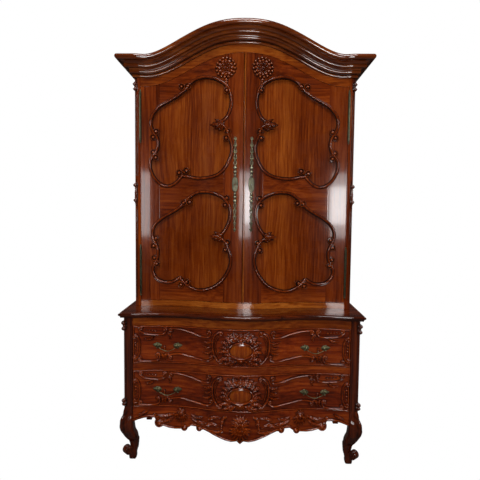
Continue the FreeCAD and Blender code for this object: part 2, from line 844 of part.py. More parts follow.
def make_cupboard(door):
    posts = both(upper_post())
    inner = upper_half_width - upper_side_inset - upper_side_thickness
    roof_lift = door_frieze_height - roof_thickness
    side_top = door_line(upper_half_width) + roof_lift
    side = box((inner, inner + upper_side_thickness), (upper_corner + upper_post_depth, back_plane),
               (board_level, side_top))
    back_front = back_plane - upper_back_inset - upper_back_thickness
    front_room = plan_board(upper_front, -front_thickness, back_plane, upper_half_width,
                            (board_level, overall_height))

    roof = arch_band((-inner - upper_side_thickness, inner + upper_side_thickness),
                     roof_lift, door_frieze_height)
    roof = roof.common(front_room).cut(posts)
    bottom = front_room.common(box((-inner, inner), (-overall_depth, back_front),
                                   (board_level, board_level + bottom_thickness))).cut(posts)
    strip = shell(upper_front, 0, -front_thickness, post_inner,
                  (board_level, board_level + base_strip_height))
    frieze = shell(upper_front, 0, -front_thickness, post_inner, (door_foot, overall_height))
    frieze = frieze.common(arch_band((-post_inner, post_inner), 0, door_frieze_height))

    boards = []
    pitch = 2 * inner / back_board_count
    for index in range(back_board_count):
        left = -inner + pitch * index + (back_board_gap / 2 if index else 0)
        right = -inner + pitch * (index + 1) - (back_board_gap / 2 if index < back_board_count - 1 else 0)
        blank = box((left, right), (back_front, back_front + upper_back_thickness),
                    (board_level, overall_height))
        boards.append(blank.common(under_arch((left, right), 0, roof_lift - seat_gap)))

    shelf_front = upper_corner + shelf_front_setback
    shelves = []
    cleats = []
    for share in shelf_shares:
        level = door_foot + (side_top - door_foot) * share
        shelves.append(box((-inner, inner), (shelf_front, back_front), (level, level + shelf_thickness)))
        cleat = box((inner - cleat_size, inner), (shelf_front, back_front), (level - cleat_size, level))
        cleats += both(cleat)

    cornice_front, cornice_side = make_cornice()
    return {
        "upper_post_right": [posts[0]],
        "upper_post_left": [posts[1]],
        "upper_sides": both(side),
        "upper_roof": [roof],
        "upper_bottom": [bottom],
        "base_strip": [strip],
        "door_frieze": [frieze],
        "upper_back_boards": boards,
        "shelves": shelves,
        "shelf_cleats": cleats,
        "cornice_front": [cornice_front],
        "cornice_returns": both(cornice_side),
        "case_hinge_halves": door["hinge_case"] + [mirrored(half) for half in door["hinge_case"]],
    }


# chest

# sections of a front leg: share of the apron level, share of the knee reach that its centre
# is pushed out by, and its half width as a share of the post
leg_shares = (
    (1.00, 0.00, 0.50),
    (0.90, 0.08, 0.54),
    (0.80, 0.30, 0.65),
    (0.70, 0.45, 0.72),
    (0.60, 0.32, 0.71),
    (0.52, 0.00, 0.68),
    (0.44, -0.40, 0.64),
    (0.37, -0.72, 0.56),
    (0.30, -0.94, 0.49),
    (0.22, -0.98, 0.43),
    (0.15, -0.82, 0.41),
    (0.09, -0.66, 0.40),
)


def leg_section(level_share):
    """Push and half width of the leg at a level, from the smooth curve through its sections."""
    levels = [share[0] for share in leg_shares]
    curve = Part.BSplineCurve()
    curve.interpolate([Vector(*shares) for shares in leg_shares], Parameters=[-share for share in levels])
    shares = curve.value(-level_share)
    return knee_reach * shares.y, lower_post_width * shares.z


def chamfered_section(centre, half, z):
    """A square with its corners taken off, as a closed wire."""
    inset = half - post_rounding / 2
    corners = [(half, -inset), (half, inset), (inset, half), (-inset, half),
               (-half, inset), (-half, -inset), (-inset, -half), (inset, -half)]
    points = [Vector(centre[0] + x, centre[1] + y, z) for x, y in corners]
    return Part.makePolygon(points + points[:1])


def front_leg():
    """Right front post that runs down into a cabriole leg with a scroll foot."""
    centre_x = lower_half_width - lower_post_width / 2
    centre_y = lower_corner + lower_post_width / 2
    toe_share = leg_shares[-1][0]
    sections = []
    for step in range(leg_facets + 1):
        level_share = 1 - (1 - toe_share) * step / leg_facets
        push, half = leg_section(level_share)
        centre = (centre_x + push, centre_y - push)
        sections.append(chamfered_section(centre, half, apron_level * level_share))
    leg = Part.makeLoft(sections, True, True)
    post = Part.Face(sections[0]).extrude(Vector(0, 0, board_underside - apron_level))
    foot_height = apron_level * toe_share
    foot = Part.Face(sections[-1]).extrude(Vector(0, 0, -foot_height))
    toe = knee_reach * leg_shares[-1][1] + whorl_offset
    along = Vector(math.sqrt(0.5), math.sqrt(0.5), 0)
    start = Vector(centre_x + toe, centre_y - toe, whorl_level) - along * (whorl_length / 2)
    whorl = rod(start, start + along * whorl_length, (whorl_radius, whorl_radius), barrel_sides)
    return fuse([leg, post, foot, whorl])


def back_leg():
    """Right back post, square above the apron level and tapered below it."""
    x_range = (lower_half_width - back_leg_width, lower_half_width)
    y_range = (back_plane - back_leg_width, back_plane)
    post = box(x_range, y_range, (apron_level, board_underside))
    half = back_leg_width / 2
    foot_half = back_foot_width / 2
    centre = (lower_half_width - half, back_plane - half)
    wires = []
    for size, z in ((half, apron_level), (foot_half, 0)):
        corners = [(-size, -size), (size, -size), (size, size), (-size, size), (-size, -size)]
        wires.append(Part.makePolygon([Vector(centre[0] + x, centre[1] + y, z) for x, y in corners]))
    taper = Part.makeLoft(wires, True, True)
    return fuse([post, taper])


# lower line of the right half of the apron: shares of the bay's half width and of the drop
apron_shares = (
    ((1.000, 0.46), (0.930, 0.385), (0.865, 0.350), (0.805, 0.365)),
    ((0.805, 0.365), (0.778, 0.560)),
    ((0.778, 0.560), (0.720, 0.640), (0.660, 0.700), (0.600, 0.715), (0.550, 0.700), (0.505, 0.690)),
    ((0.505, 0.690), (0.472, 0.590), (0.430, 0.555), (0.402, 0.580)),
    ((0.402, 0.580), (0.390, 0.680)),
    ((0.390, 0.680), (0.342, 0.640), (0.275, 0.725), (0.200, 0.830), (0.125, 0.914), (0.070, 0.937),
     (0.030, 0.910)),
    ((0.030, 0.910), (0.000, 1.000)),
)


def make_apron(legs):
    edges = []
    for side in (-1, 1):
        for run in apron_shares:
            points = [front_point(side * bay_half * x, apron_level - apron_drop * z) for x, z in run]
            edges += smooth_chain(points)
        end = front_point(side * bay_half, apron_level - apron_drop * apron_shares[0][0][1])
        edges.append(Part.makeLine(end, front_point(side * bay_half, apron_level)))
    edges.append(Part.makeLine(front_point(-bay_half, apron_level), front_point(bay_half, apron_level)))
    board = shell(lower_front, 0, -apron_thickness, bay_half, (0, apron_level))
    return board.common(front_prism(edges)).cut(legs)


def make_board():
    """Moulded top of the chest: a thick rounded edge over a smaller step."""
    half = lower_half_width + board_side_overhang
    step_top = board_underside + board_bead_height
    slab = plan_board(lower_front, board_front_overhang, back_plane, half, (step_top, board_level))
    rims = [edge for edge in slab.Edges
            if abs(edge.BoundBox.ZMin - edge.BoundBox.ZMax) < seat_gap
            and edge.BoundBox.YMin < back_plane - seat_gap]
    slab = slab.makeChamfer(min(board_rounding, (board_thickness - board_bead_height) / 3), rims)
    step = plan_board(lower_front, board_front_overhang - board_bead_setback, back_plane,
                      half - board_bead_setback, (board_underside, step_top))
    return fuse([slab, step])


def make_chest():
    front_right = front_leg()
    back_right = back_leg()
    legs = both(front_right) + both(back_right)
    side_inner = lower_half_width - side_inset - side_thickness
    side = box((side_inner, side_inner + side_thickness),
               (lower_corner + lower_post_width, back_plane - back_leg_width),
               (apron_level - dust_board_gap, board_underside)).cut(front_right)
    back_front = chest_back_front
    back = box((-lower_half_width + back_leg_width, lower_half_width - back_leg_width),
               (back_front, back_front + back_thickness), (apron_level - dust_board_gap, board_underside))
    rail_room = plan_board(lower_front, -rail_depth, back_front, bay_half, (0, board_underside))
    frieze_rail = shell(lower_front, 0, -rail_depth, bay_half, (upper_opening_top, board_underside))
    divider = shell(lower_front, 0, -rail_depth, bay_half, (lower_opening_top, upper_opening_foot))
    apron_room = plan_board(lower_front, -apron_thickness, back_front, bay_half, (0, board_underside))
    dust_top = apron_level - dust_board_gap - runner_height
    dust = apron_room.common(box((-bay_half, bay_half), (-overall_depth, overall_depth),
                                 (dust_top - dust_board_thickness, dust_top))).cut(legs)
    runners = []
    for level in (upper_opening_foot, apron_level):
        bar = box((bay_half - runner_width, bay_half), (-overall_depth, back_front),
                  (level - runner_height, level))
        room = rail_room if level == upper_opening_foot else apron_room
        runners += both(bar.common(room).cut(legs))
    return {
        "commode_board": [make_board()],
        "front_leg_right": [front_right],
        "front_leg_left": [mirrored(front_right)],
        "back_legs": both(back_right),
        "lower_sides": both(side),
        "lower_back": [back],
        "frieze_rail": [frieze_rail],
        "drawer_divider": [divider],
        "apron": [make_apron(legs)],
        "dust_board": [dust],
        "drawer_runners": runners,
    }


# drawers

# raised scrolls of a drawer front: shares of its half width and of its height, from its middle
drawer_scroll_shares = (
    ((0.285, 0.36), (0.245, 0.28), (0.262, 0.08), (0.300, -0.05), (0.278, -0.26), (0.235, -0.33)),
    ((0.275, 0.40), (0.350, 0.30), (0.440, 0.32), (0.530, 0.40), (0.590, 0.27), (0.680, 0.31),
     (0.790, 0.42), (0.880, 0.44)),
)


def drawer_carving(level, height):
    """Planted scrolls and the oval rim of the middle cartouche on a curved drawer front."""
    half = bay_half - drawer_side_gap
    scrolls = []
    for run in drawer_scroll_shares:
        points = [front_point(half * x, level + height * z) for x, z in run]
        scrolls.append(ribbon(points, drawer_scroll_width, drawer_scroll_proud, lower_front))
    pieces = both(fuse(scrolls))
    sections = []
    for step in range(ring_facets):
        angle = 2 * math.pi * step / ring_facets
        section = []
        for width_share, proud_share in moulding_shares:
            inset = drawer_scroll_width * width_share
            x = (cartouche_half_width - inset) * math.cos(angle)
            z = level + (cartouche_half_height - inset) * math.sin(angle)
            out = seat_gap + (drawer_scroll_proud - seat_gap) * proud_share
            section.append(Vector(x, lower_front + plan_depth(x, out), z))
        sections.append(section)
    pieces.append(skin(sections, False))
    return pieces


def make_bail(centre):
    """A bail: a round pin in each post, a tight turn and a half-round bow with six flat sides."""
    turn_x = bail_bow_radius + bail_turn_radius
    route = []
    for step in range(bail_turn_facets + 1):
        angle = math.pi / 2 * step / bail_turn_facets
        route.append((-turn_x + bail_turn_radius * math.sin(angle),
                      bail_turn_radius * (math.cos(angle) - 1), angle))
    for step in range(1, bow_facets):
        angle = math.pi * step / bow_facets
        route.append((-bail_bow_radius * math.cos(angle),
                      -bail_turn_radius - bail_bow_radius * math.sin(angle), math.pi / 2 - angle))
    for step in range(bail_turn_facets, -1, -1):
        angle = math.pi / 2 * step / bail_turn_facets
        route.append((turn_x - bail_turn_radius * math.sin(angle),
                      bail_turn_radius * (math.cos(angle) - 1), -angle))
    sections = []
    for x, z, fall in route:
        across = Vector(math.sin(fall), 0, math.cos(fall))
        sections.append(ring(centre + Vector(x, 0, z), across, Vector(0, 1, 0), bail_radius, rod_sides))
    pin_length = pull_spacing / 2 + pull_head_radius - turn_x
    pins = [Part.makeCylinder(bail_radius, pin_length, centre + Vector(side * turn_x, 0, 0),
                              Vector(side, 0, 0)) for side in (-1, 1)]
    return fuse([skin(sections, True)] + pins)


def pull_post(x, level):
    """One cast post: its rose, stem and bored head, with a shank through the front and a nut."""
    face = lower_front + plan_depth(x, 0)
    inner_face = lower_front + plan_depth(x, -drawer_front_thickness)
    pivot = lower_front + plan_depth(pull_place, 0) - pull_projection

    def place(y):
        return Vector(x, y, level)

    rose = rod(place(face - rose_thickness), place(face + rose_bed), (rose_radius, rose_radius),
               barrel_sides)
    stem = rod(place(pivot), place(face), (pull_post_radius, pull_post_radius), rod_sides)
    head_start = Vector(x - pull_head_radius, pivot, level)
    head_end = Vector(x + pull_head_radius, pivot, level)
    head = rod(head_start, head_end, (pull_head_radius, pull_head_radius), barrel_sides)
    nut_start = inner_face + seat_gap
    nut_end = nut_start + pull_nut_thickness
    shank = rod(place(face), place(nut_end + pull_shank_radius),
                (pull_shank_radius, pull_shank_radius), rod_sides)
    nut = rod(place(nut_start), place(nut_end), (pull_nut_radius, pull_nut_radius), rod_sides)
    bore = Part.makeCylinder(bail_radius + bail_fit, 2 * pull_head_radius, head_start, Vector(1, 0, 0))
    return fuse([rose, stem, head, shank, nut]).cut(bore)


def make_drawer(name, opening_foot, opening_height):
    half = bay_half - drawer_side_gap
    foot = opening_foot + drawer_front_gap
    top = opening_foot + opening_height - drawer_front_gap
    level = (foot + top) / 2
    front = shell(lower_front, 0, -drawer_front_thickness, half, (foot, top))
    box_foot = opening_foot + drawer_running_gap
    box_top = top - drawer_wall_drop
    box_back = chest_back_front - drawer_back_room
    room = plan_board(lower_front, -drawer_front_thickness, box_back, half, (box_foot, box_top))
    side = room.common(box((half - drawer_wall, half), (-overall_depth, box_back), (box_foot, box_top)))
    bottom_foot = box_foot + drawer_bottom_lift
    bottom_top = bottom_foot + drawer_bottom_thickness
    inner = half - drawer_wall
    bottom = plan_board(lower_front, -drawer_front_thickness + drawer_groove, box_back,
                        half, (bottom_foot, bottom_top))
    bottom = bottom.common(box((-inner - drawer_groove, inner + drawer_groove),
                               (-overall_depth, box_back), (0, board_level)))
    back = box((-inner, inner), (box_back - drawer_back_wall, box_back), (bottom_top, box_top))

    pull_level = level - pull_drop
    posts = []
    bails = []
    for side_sign in (-1, 1):
        for end in (-1, 1):
            posts.append(pull_post(side_sign * pull_place + end * pull_spacing / 2, pull_level))
        pivot = Vector(side_sign * pull_place, lower_front + plan_depth(pull_place, 0) - pull_projection,
                       pull_level)
        bails.append(make_bail(pivot))
    return {
        name + "_front": [front.cut([bottom] + posts)],
        name + "_carvings": drawer_carving(level, top - foot),
        name + "_sides": [piece.cut(bottom) for piece in both(side)],
        name + "_back": [back],
        name + "_bottom": [bottom],
        name + "_pull_posts": posts,
        name + "_bail_left": [bails[0]],
        name + "_bail_right": [bails[1]],
    }


# put together

def make_nodes():
    door = make_door()
    nodes = {}
    nodes.update(make_chest())
    nodes.update(make_cupboard(door))
    nodes.update(make_drawer("upper_drawer", upper_opening_foot, upper_drawer_opening))
    nodes.update(make_drawer("lower_drawer", apron_level, lower_drawer_opening))

    lock_case = lock_box(0).cut([lock_bolt_box(lock_fit, overrun), keyhole()])
    right_stile = door["meeting_stile"].cut([lock_box(0), keyhole()])
    strike = lock_bolt_box(strike_room, lock_bolt_travel + strike_room)
    left_stile = mirrored(door["meeting_stile"]).cut(strike)
    bead = shell(upper_front, meeting_bead_proud, 0, upper_half_width, (door_foot, overall_height))
    bead = bead.common(under_arch((meeting_edge, meeting_edge + meeting_bead_width), door_foot,
                                  -door_foot_gap))
    crest_top = facet_line(bolt_place + bolt_width / 2) - door_foot_gap
    top_foot = crest_top - bolt_length
    bottom_top = door_foot + bolt_length
    guide_inset = bolt_length * bolt_guide_share
    guides = [bolt_guide(level) for level in (crest_top - guide_inset, top_foot + guide_inset,
                                              door_foot + guide_inset, bottom_top - guide_inset)]
    nodes.update({
        "right_meeting_stile": [right_stile],
        "right_hinge_stile": [door["hinge_stile"]],
        "right_door_rails": door["rails"],
        "right_door_panels": door["panels"],
        "right_door_mouldings": door["mouldings"],
        "right_escutcheon": [door["plate"].cut(keyhole())],
        "right_hinge_halves": door["hinge_door"],
        "meeting_bead": [bead],
        "lock_case": [lock_case],
        "lock_bolt": [lock_bolt_box(0, 0)],
        "left_meeting_stile": [left_stile],
        "left_hinge_stile": [mirrored(door["hinge_stile"])],
        "left_door_rails": [mirrored(rail) for rail in door["rails"]],
        "left_door_panels": [mirrored(panel) for panel in door["panels"]],
        "left_door_mouldings": [mirrored(moulding) for moulding in door["mouldings"]],
        "left_escutcheon": [mirrored(door["plate"])],
        "left_hinge_halves": [mirrored(half) for half in door["hinge_door"]],
        "top_bolt": [flush_bolt(top_foot, crest_top, (top_foot + crest_top) / 2)],
        "bottom_bolt": [flush_bolt(door_foot, bottom_top, (door_foot + bottom_top) / 2)],
        "bolt_guides": guides,
    })
    return nodes


def write_nodes():
    os.makedirs("parts", exist_ok=True)
    for name, solids in sorted(make_nodes().items()):
        pieces = [solid for shape in solids for solid in shape.Solids]
        shape = pieces[0] if len(pieces) == 1 else Part.makeCompound(pieces)
        shape.exportStep("parts/" + name + ".step")


write_nodes()
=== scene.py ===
"""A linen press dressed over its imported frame: polished wood, carved ornament and cast brass."""

import logging
import math
from dataclasses import dataclass, field
from enum import Enum
from typing import Callable, Sequence

import bmesh
import bpy
import numpy as np
from mathutils import Matrix


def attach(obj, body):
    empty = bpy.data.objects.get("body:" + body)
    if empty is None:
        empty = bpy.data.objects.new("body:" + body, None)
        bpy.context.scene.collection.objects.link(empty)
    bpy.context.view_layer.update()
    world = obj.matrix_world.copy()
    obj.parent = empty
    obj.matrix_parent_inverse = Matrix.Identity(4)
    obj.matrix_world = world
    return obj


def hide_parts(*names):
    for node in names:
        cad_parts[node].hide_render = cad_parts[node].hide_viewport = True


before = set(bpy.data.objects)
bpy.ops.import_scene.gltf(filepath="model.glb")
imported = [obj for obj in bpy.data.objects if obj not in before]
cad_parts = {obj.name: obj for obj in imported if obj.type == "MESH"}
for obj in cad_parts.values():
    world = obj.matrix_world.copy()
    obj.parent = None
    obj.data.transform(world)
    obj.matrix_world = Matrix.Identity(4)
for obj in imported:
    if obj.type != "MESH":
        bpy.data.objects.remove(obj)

Array = np.ndarray
Number = Array | float
Ground = Callable[[Array, Array, Array], Array]
Pair = tuple[float, float]
Place = Pair | Array
Line = Sequence[Place] | Array
Triple = tuple[float, float, float]
Curls = tuple[int, int]
log = logging.getLogger("linen_press")

# metres by which the edge of a carved shape stands over its ground
LIP = 0.0004
# tone of wood without carving, on a scale from 0 for a hollow to 1 for a crest
PLAIN_TONE = 0.62
# tables of places are kept in thousandths, or in tenths of a millimetre
THOUSANDTHS, TENTHS = 1000, 10_000
# full turns of a scroll's curl, samples of it, and the share of its radius that goes
CURL_TURNS, CURL_STEPS, CURL_LOSS = 1.15, 22, 0.74
# radius of the ball in a curl over the curl's, and its height over the moulding's
BALL_SHARE, BALL_RISE = 0.42, 1.15


class Grain(Enum):
    """The way the wood's fibres run in a piece, as the turn of its figure about each axis."""

    UPRIGHT = (0.0, math.pi / 2, 0.0)
    ACROSS = (0.0, 0.0, 0.0)
    DEEP = (0.0, 0.0, math.pi / 2)


class Side(Enum):
    """Which half of the press a piece stands in, with the sign of its X."""

    LEFT = -1
    RIGHT = 1

    @property
    def word(self) -> str:
        """The side as the names of pieces spell it."""
        return self.name.lower()


class Slot(Enum):
    """The record's material slots."""

    POLISHED = "polished_wood"
    PANEL = "panel_wood"
    INNER = "inner_wood"
    BRASS = "brass"
    STEEL = "steel"


# Lines and grounds.


def rows(*numbers: Number) -> Array:
    """Points from arrays and single numbers, brought to one shape and laid side by side."""
    return np.stack(np.broadcast_arrays(*numbers), axis=-1)


def pairs(numbers: Sequence[float], scale: int = THOUSANDTHS) -> Array:
    """The numbers of a table two by two, divided by their scale."""
    return np.reshape(numbers, (-1, 2)) / scale


def full_turn(count: int) -> Array:
    """Angles of a full turn in even steps, in radians."""
    return np.arange(count) * math.tau / count


def bell(value: Number, middle: float, width: float) -> Array:
    """One at the middle, fading both ways as e to the minus square of the distance over width."""
    return np.exp(-(((value - middle) / width) ** 2))


def spline(points: Line, count: int) -> Array:
    """Natural cubic spline through points of a plane, sampled evenly along its chord length.

    The second derivatives solve the usual three-term system, with none at either end.

    Args:
        points: the places it goes through.
        count: how many samples to give.

    Returns:
        Samples as rows of two numbers.
    """
    knots = np.asarray(points, float)
    reach = np.concatenate([[0.0], np.cumsum(np.linalg.norm(np.diff(knots, axis=0), axis=1))])
    steps = np.diff(reach)
    size = len(knots)
    inner = np.arange(1, size - 1)
    matrix = np.eye(size)
    matrix[inner, inner - 1] = steps[:-1]
    matrix[inner, inner] = 2 * (steps[:-1] + steps[1:])
    matrix[inner, inner + 1] = steps[1:]
    right = np.zeros_like(knots)
    right[1:-1] = 6 * np.diff(np.diff(knots, axis=0) / steps[:, None], axis=0)
    bend = np.linalg.solve(matrix, right)
    place = np.linspace(0, reach[-1], count)
    left = np.clip(np.searchsorted(reach, place, side="right") - 1, 0, size - 2)
    step = steps[left][:, None]
    after = (place - reach[left])[:, None]
    before = step - after
    cubic = (bend[left] * before**3 + bend[left + 1] * after**3) / (6 * step)
    line = (knots[left] / step - bend[left] * step / 6) * before
    return cubic + line + (knots[left + 1] / step - bend[left + 1] * step / 6) * after


def curled(path: Array, turn: int, radius: float) -> Array:
    """A path with a spiral added to its end, whose radius shrinks evenly with the angle turned.

    Args:
        path: rows of two numbers.
        turn: 1 to curl to the left of the path, -1 to the right.
        radius: radius where the spiral leaves the path.

    Returns:
        The longer path.
    """
    along = path[-1] - path[-2]
    along = along / np.linalg.norm(along)
    side = turn * np.array([-along[1], along[0]])
    angle = np.linspace(0, math.tau * CURL_TURNS, CURL_STEPS + 1)[1:]
    shrink = radius * (1 - CURL_LOSS * angle / angle[-1])
    cosine, sine = np.cos(turn * angle), np.sin(turn * angle)
    arm = rows(side[1] * sine - side[0] * cosine, -side[0] * sine - side[1] * cosine)
    return np.vstack([path, path[-1] + side * radius + arm * shrink[:, None]])


@dataclass(frozen=True)
class Front:
    """A front on the serpentine plan: a crest, hollow troughs and small ears, all arcs.

    Args:
        face: Y of the crest.
        crest: radius of the crest's arc.
        trough: radius of the trough's arc.
        ear: radius of the ear's arc.
        trough_place: X of the trough's centre.
        ear_reach: distance from there to where the ear begins.
    """

    face: float
    crest: float = 0.7000
    trough: float = 0.8000
    ear: float = 0.1000
    trough_place: float = 0.4200
    ear_reach: float = 0.1650

    def deep(self, x: Number, out: Number = 0.0) -> Array:
        """Y of the front at x, for the line moved outwards by out.

        Each arc gives centre minus or plus the root of its squared radius less the squared
        distance from its centre, and an arc's radius grows or shrinks by out.

        Args:
            x: places across the front.
            out: offsets towards the viewer.

        Returns:
            Y for each place.
        """
        wave = math.asin(self.trough_place / (self.crest + self.trough))
        lift = math.asin(self.ear_reach / self.trough)
        trough_y = self.crest - (self.crest + self.trough) * math.cos(wave)
        ear_x = self.trough_place + (self.trough + self.ear) * math.sin(lift)
        ear_y = trough_y + (self.trough + self.ear) * math.cos(lift)
        across, out = np.broadcast_arrays(np.abs(x), out)
        crest = self.crest - np.sqrt(np.maximum((self.crest + out) ** 2 - across**2, 0))
        hollow = (self.trough - out) ** 2 - (across - self.trough_place) ** 2
        trough = trough_y + np.sqrt(np.maximum(hollow, 0))
        ear = ear_y - np.sqrt(np.maximum((self.ear + out) ** 2 - (ear_x - across) ** 2, 0))
        first = (self.crest + out) * math.sin(wave)
        second = self.trough_place + (self.trough - out) * math.sin(lift)
        runs = [across <= first, across <= second, across <= ear_x]
        return self.face + np.select(runs, [crest, trough, ear], ear_y - self.ear - out)

    def __call__(self, x: Array, z: Array, out: Array) -> Array:
        """Points of the front at x and z, stood off by out."""
        return rows(x, self.deep(x, out), z)


@dataclass(frozen=True)
class Arch:
    """The top line of the doors: a cosine wave drawn in towards the middle.

    Args:
        crest: level of its middle.
        rise: how far its ends lie lower.
        half: half its length.
        power: how much the wave is drawn in; 1 leaves it even.
    """

    crest: float = 2.260
    rise: float = 0.170
    half: float = 0.5650
    power: float = 1.25

    def level(self, x: Array) -> Array:
        """Height of the line at x: crest less half the rise times one minus a cosine."""
        share = np.minimum(np.abs(x) / self.half, 1)
        return self.crest - self.rise * (1 - np.cos(math.pi * share**self.power)) / 2

    def slope(self, x: Array, step: float = 1e-4) -> Array:
        """Angle of the line at x, in radians, from the levels a small step to either side."""
        return np.arctan((self.level(x + step) - self.level(x - step)) / (2 * step))


UPPER = Front(-0.1049)
LOWER = Front(-0.2715)
ARCH = Arch()


# Meshes.


class Stock:
    """Closed grids of points gathered into one mesh, with a tone for each point."""

    def __init__(self) -> None:
        """Starts with nothing."""
        self.points: list[Array] = []
        self.tones: list[Array] = []
        self.quads: list[Array] = []
        self.caps: list[list[int]] = []
        self.count = 0

    def grid(self, points: Array, tone: Number = 0.5, closed: bool = False) -> None:
        """Adds a grid whose rows are closed loops, with its first and last rows capped.

        Args:
            points: rows, columns and three numbers.
            tone: height in the carving from 0 to 1, from which the finish paints shade into hollows and a
                highlight onto crests.
            closed: True where the last row joins the first and there are no caps.
        """
        shape = points.shape[:2]
        index = np.arange(shape[0] * shape[1]).reshape(shape) + self.count
        below, above = (index, np.roll(index, -1, 0)) if closed else (index[:-1], index[1:])
        quads = rows(below, np.roll(below, -1, 1), np.roll(above, -1, 1), above)
        self.quads.append(quads.reshape(-1, 4))
        if not closed:
            self.caps += [index[0][::-1].tolist(), index[-1].tolist()]
        self.points.append(points.reshape(-1, 3))
        self.tones.append(np.broadcast_to(tone, shape).reshape(-1))
        self.count += index.size

    def mirrored(self) -> "Stock":
        """The same stock turned over in X.

        Returns:
            The mirror image.
        """
        other = Stock()
        other.points = [points * np.array([-1.0, 1.0, 1.0]) for points in self.points]
        other.tones, other.quads, other.caps = self.tones, self.quads, self.caps
        other.count = self.count
        return other

    def on(self, side: Side) -> "Stock":
        """This stock, made for the right half, or its mirror image for the left half."""
        return self if side is Side.RIGHT else self.mirrored()

    def add(self, *others: "Stock") -> None:
        """Takes in all of other stocks.

        Args:
            others: the stocks.
        """
        for other in others:
            self.points += other.points
            self.tones += other.tones
            self.quads += [quads + self.count for quads in other.quads]
            self.caps += [[corner + self.count for corner in cap] for cap in other.caps]
            self.count += other.count

    def mesh(self, name: str, sharp: float) -> bpy.types.Mesh:
        """The mesh of all grids, smooth but for edges sharper than an angle.

        Args:
            name: name of the mesh.
            sharp: angle in degrees from which an edge stays sharp.

        Returns:
            The mesh, with its faces outwards and its tones as an attribute.
        """
        mesh = bpy.data.meshes.new(name)
        faces = np.vstack(self.quads).tolist() + self.caps
        mesh.from_pydata(np.vstack(self.points).tolist(), [], faces)
        tone = mesh.attributes.new("tone", "FLOAT", "POINT")
        tone.data.foreach_set("value", np.concatenate(self.tones).astype(np.float32))
        work = bmesh.new()
        work.from_mesh(mesh)
        bmesh.ops.remove_doubles(work, verts=work.verts, dist=1e-7)
        bmesh.ops.recalc_face_normals(work, faces=work.faces)
        work.to_mesh(mesh)
        work.free()
        mesh.shade_smooth()
        mesh.set_sharp_from_angle(angle=math.radians(sharp))
        return mesh


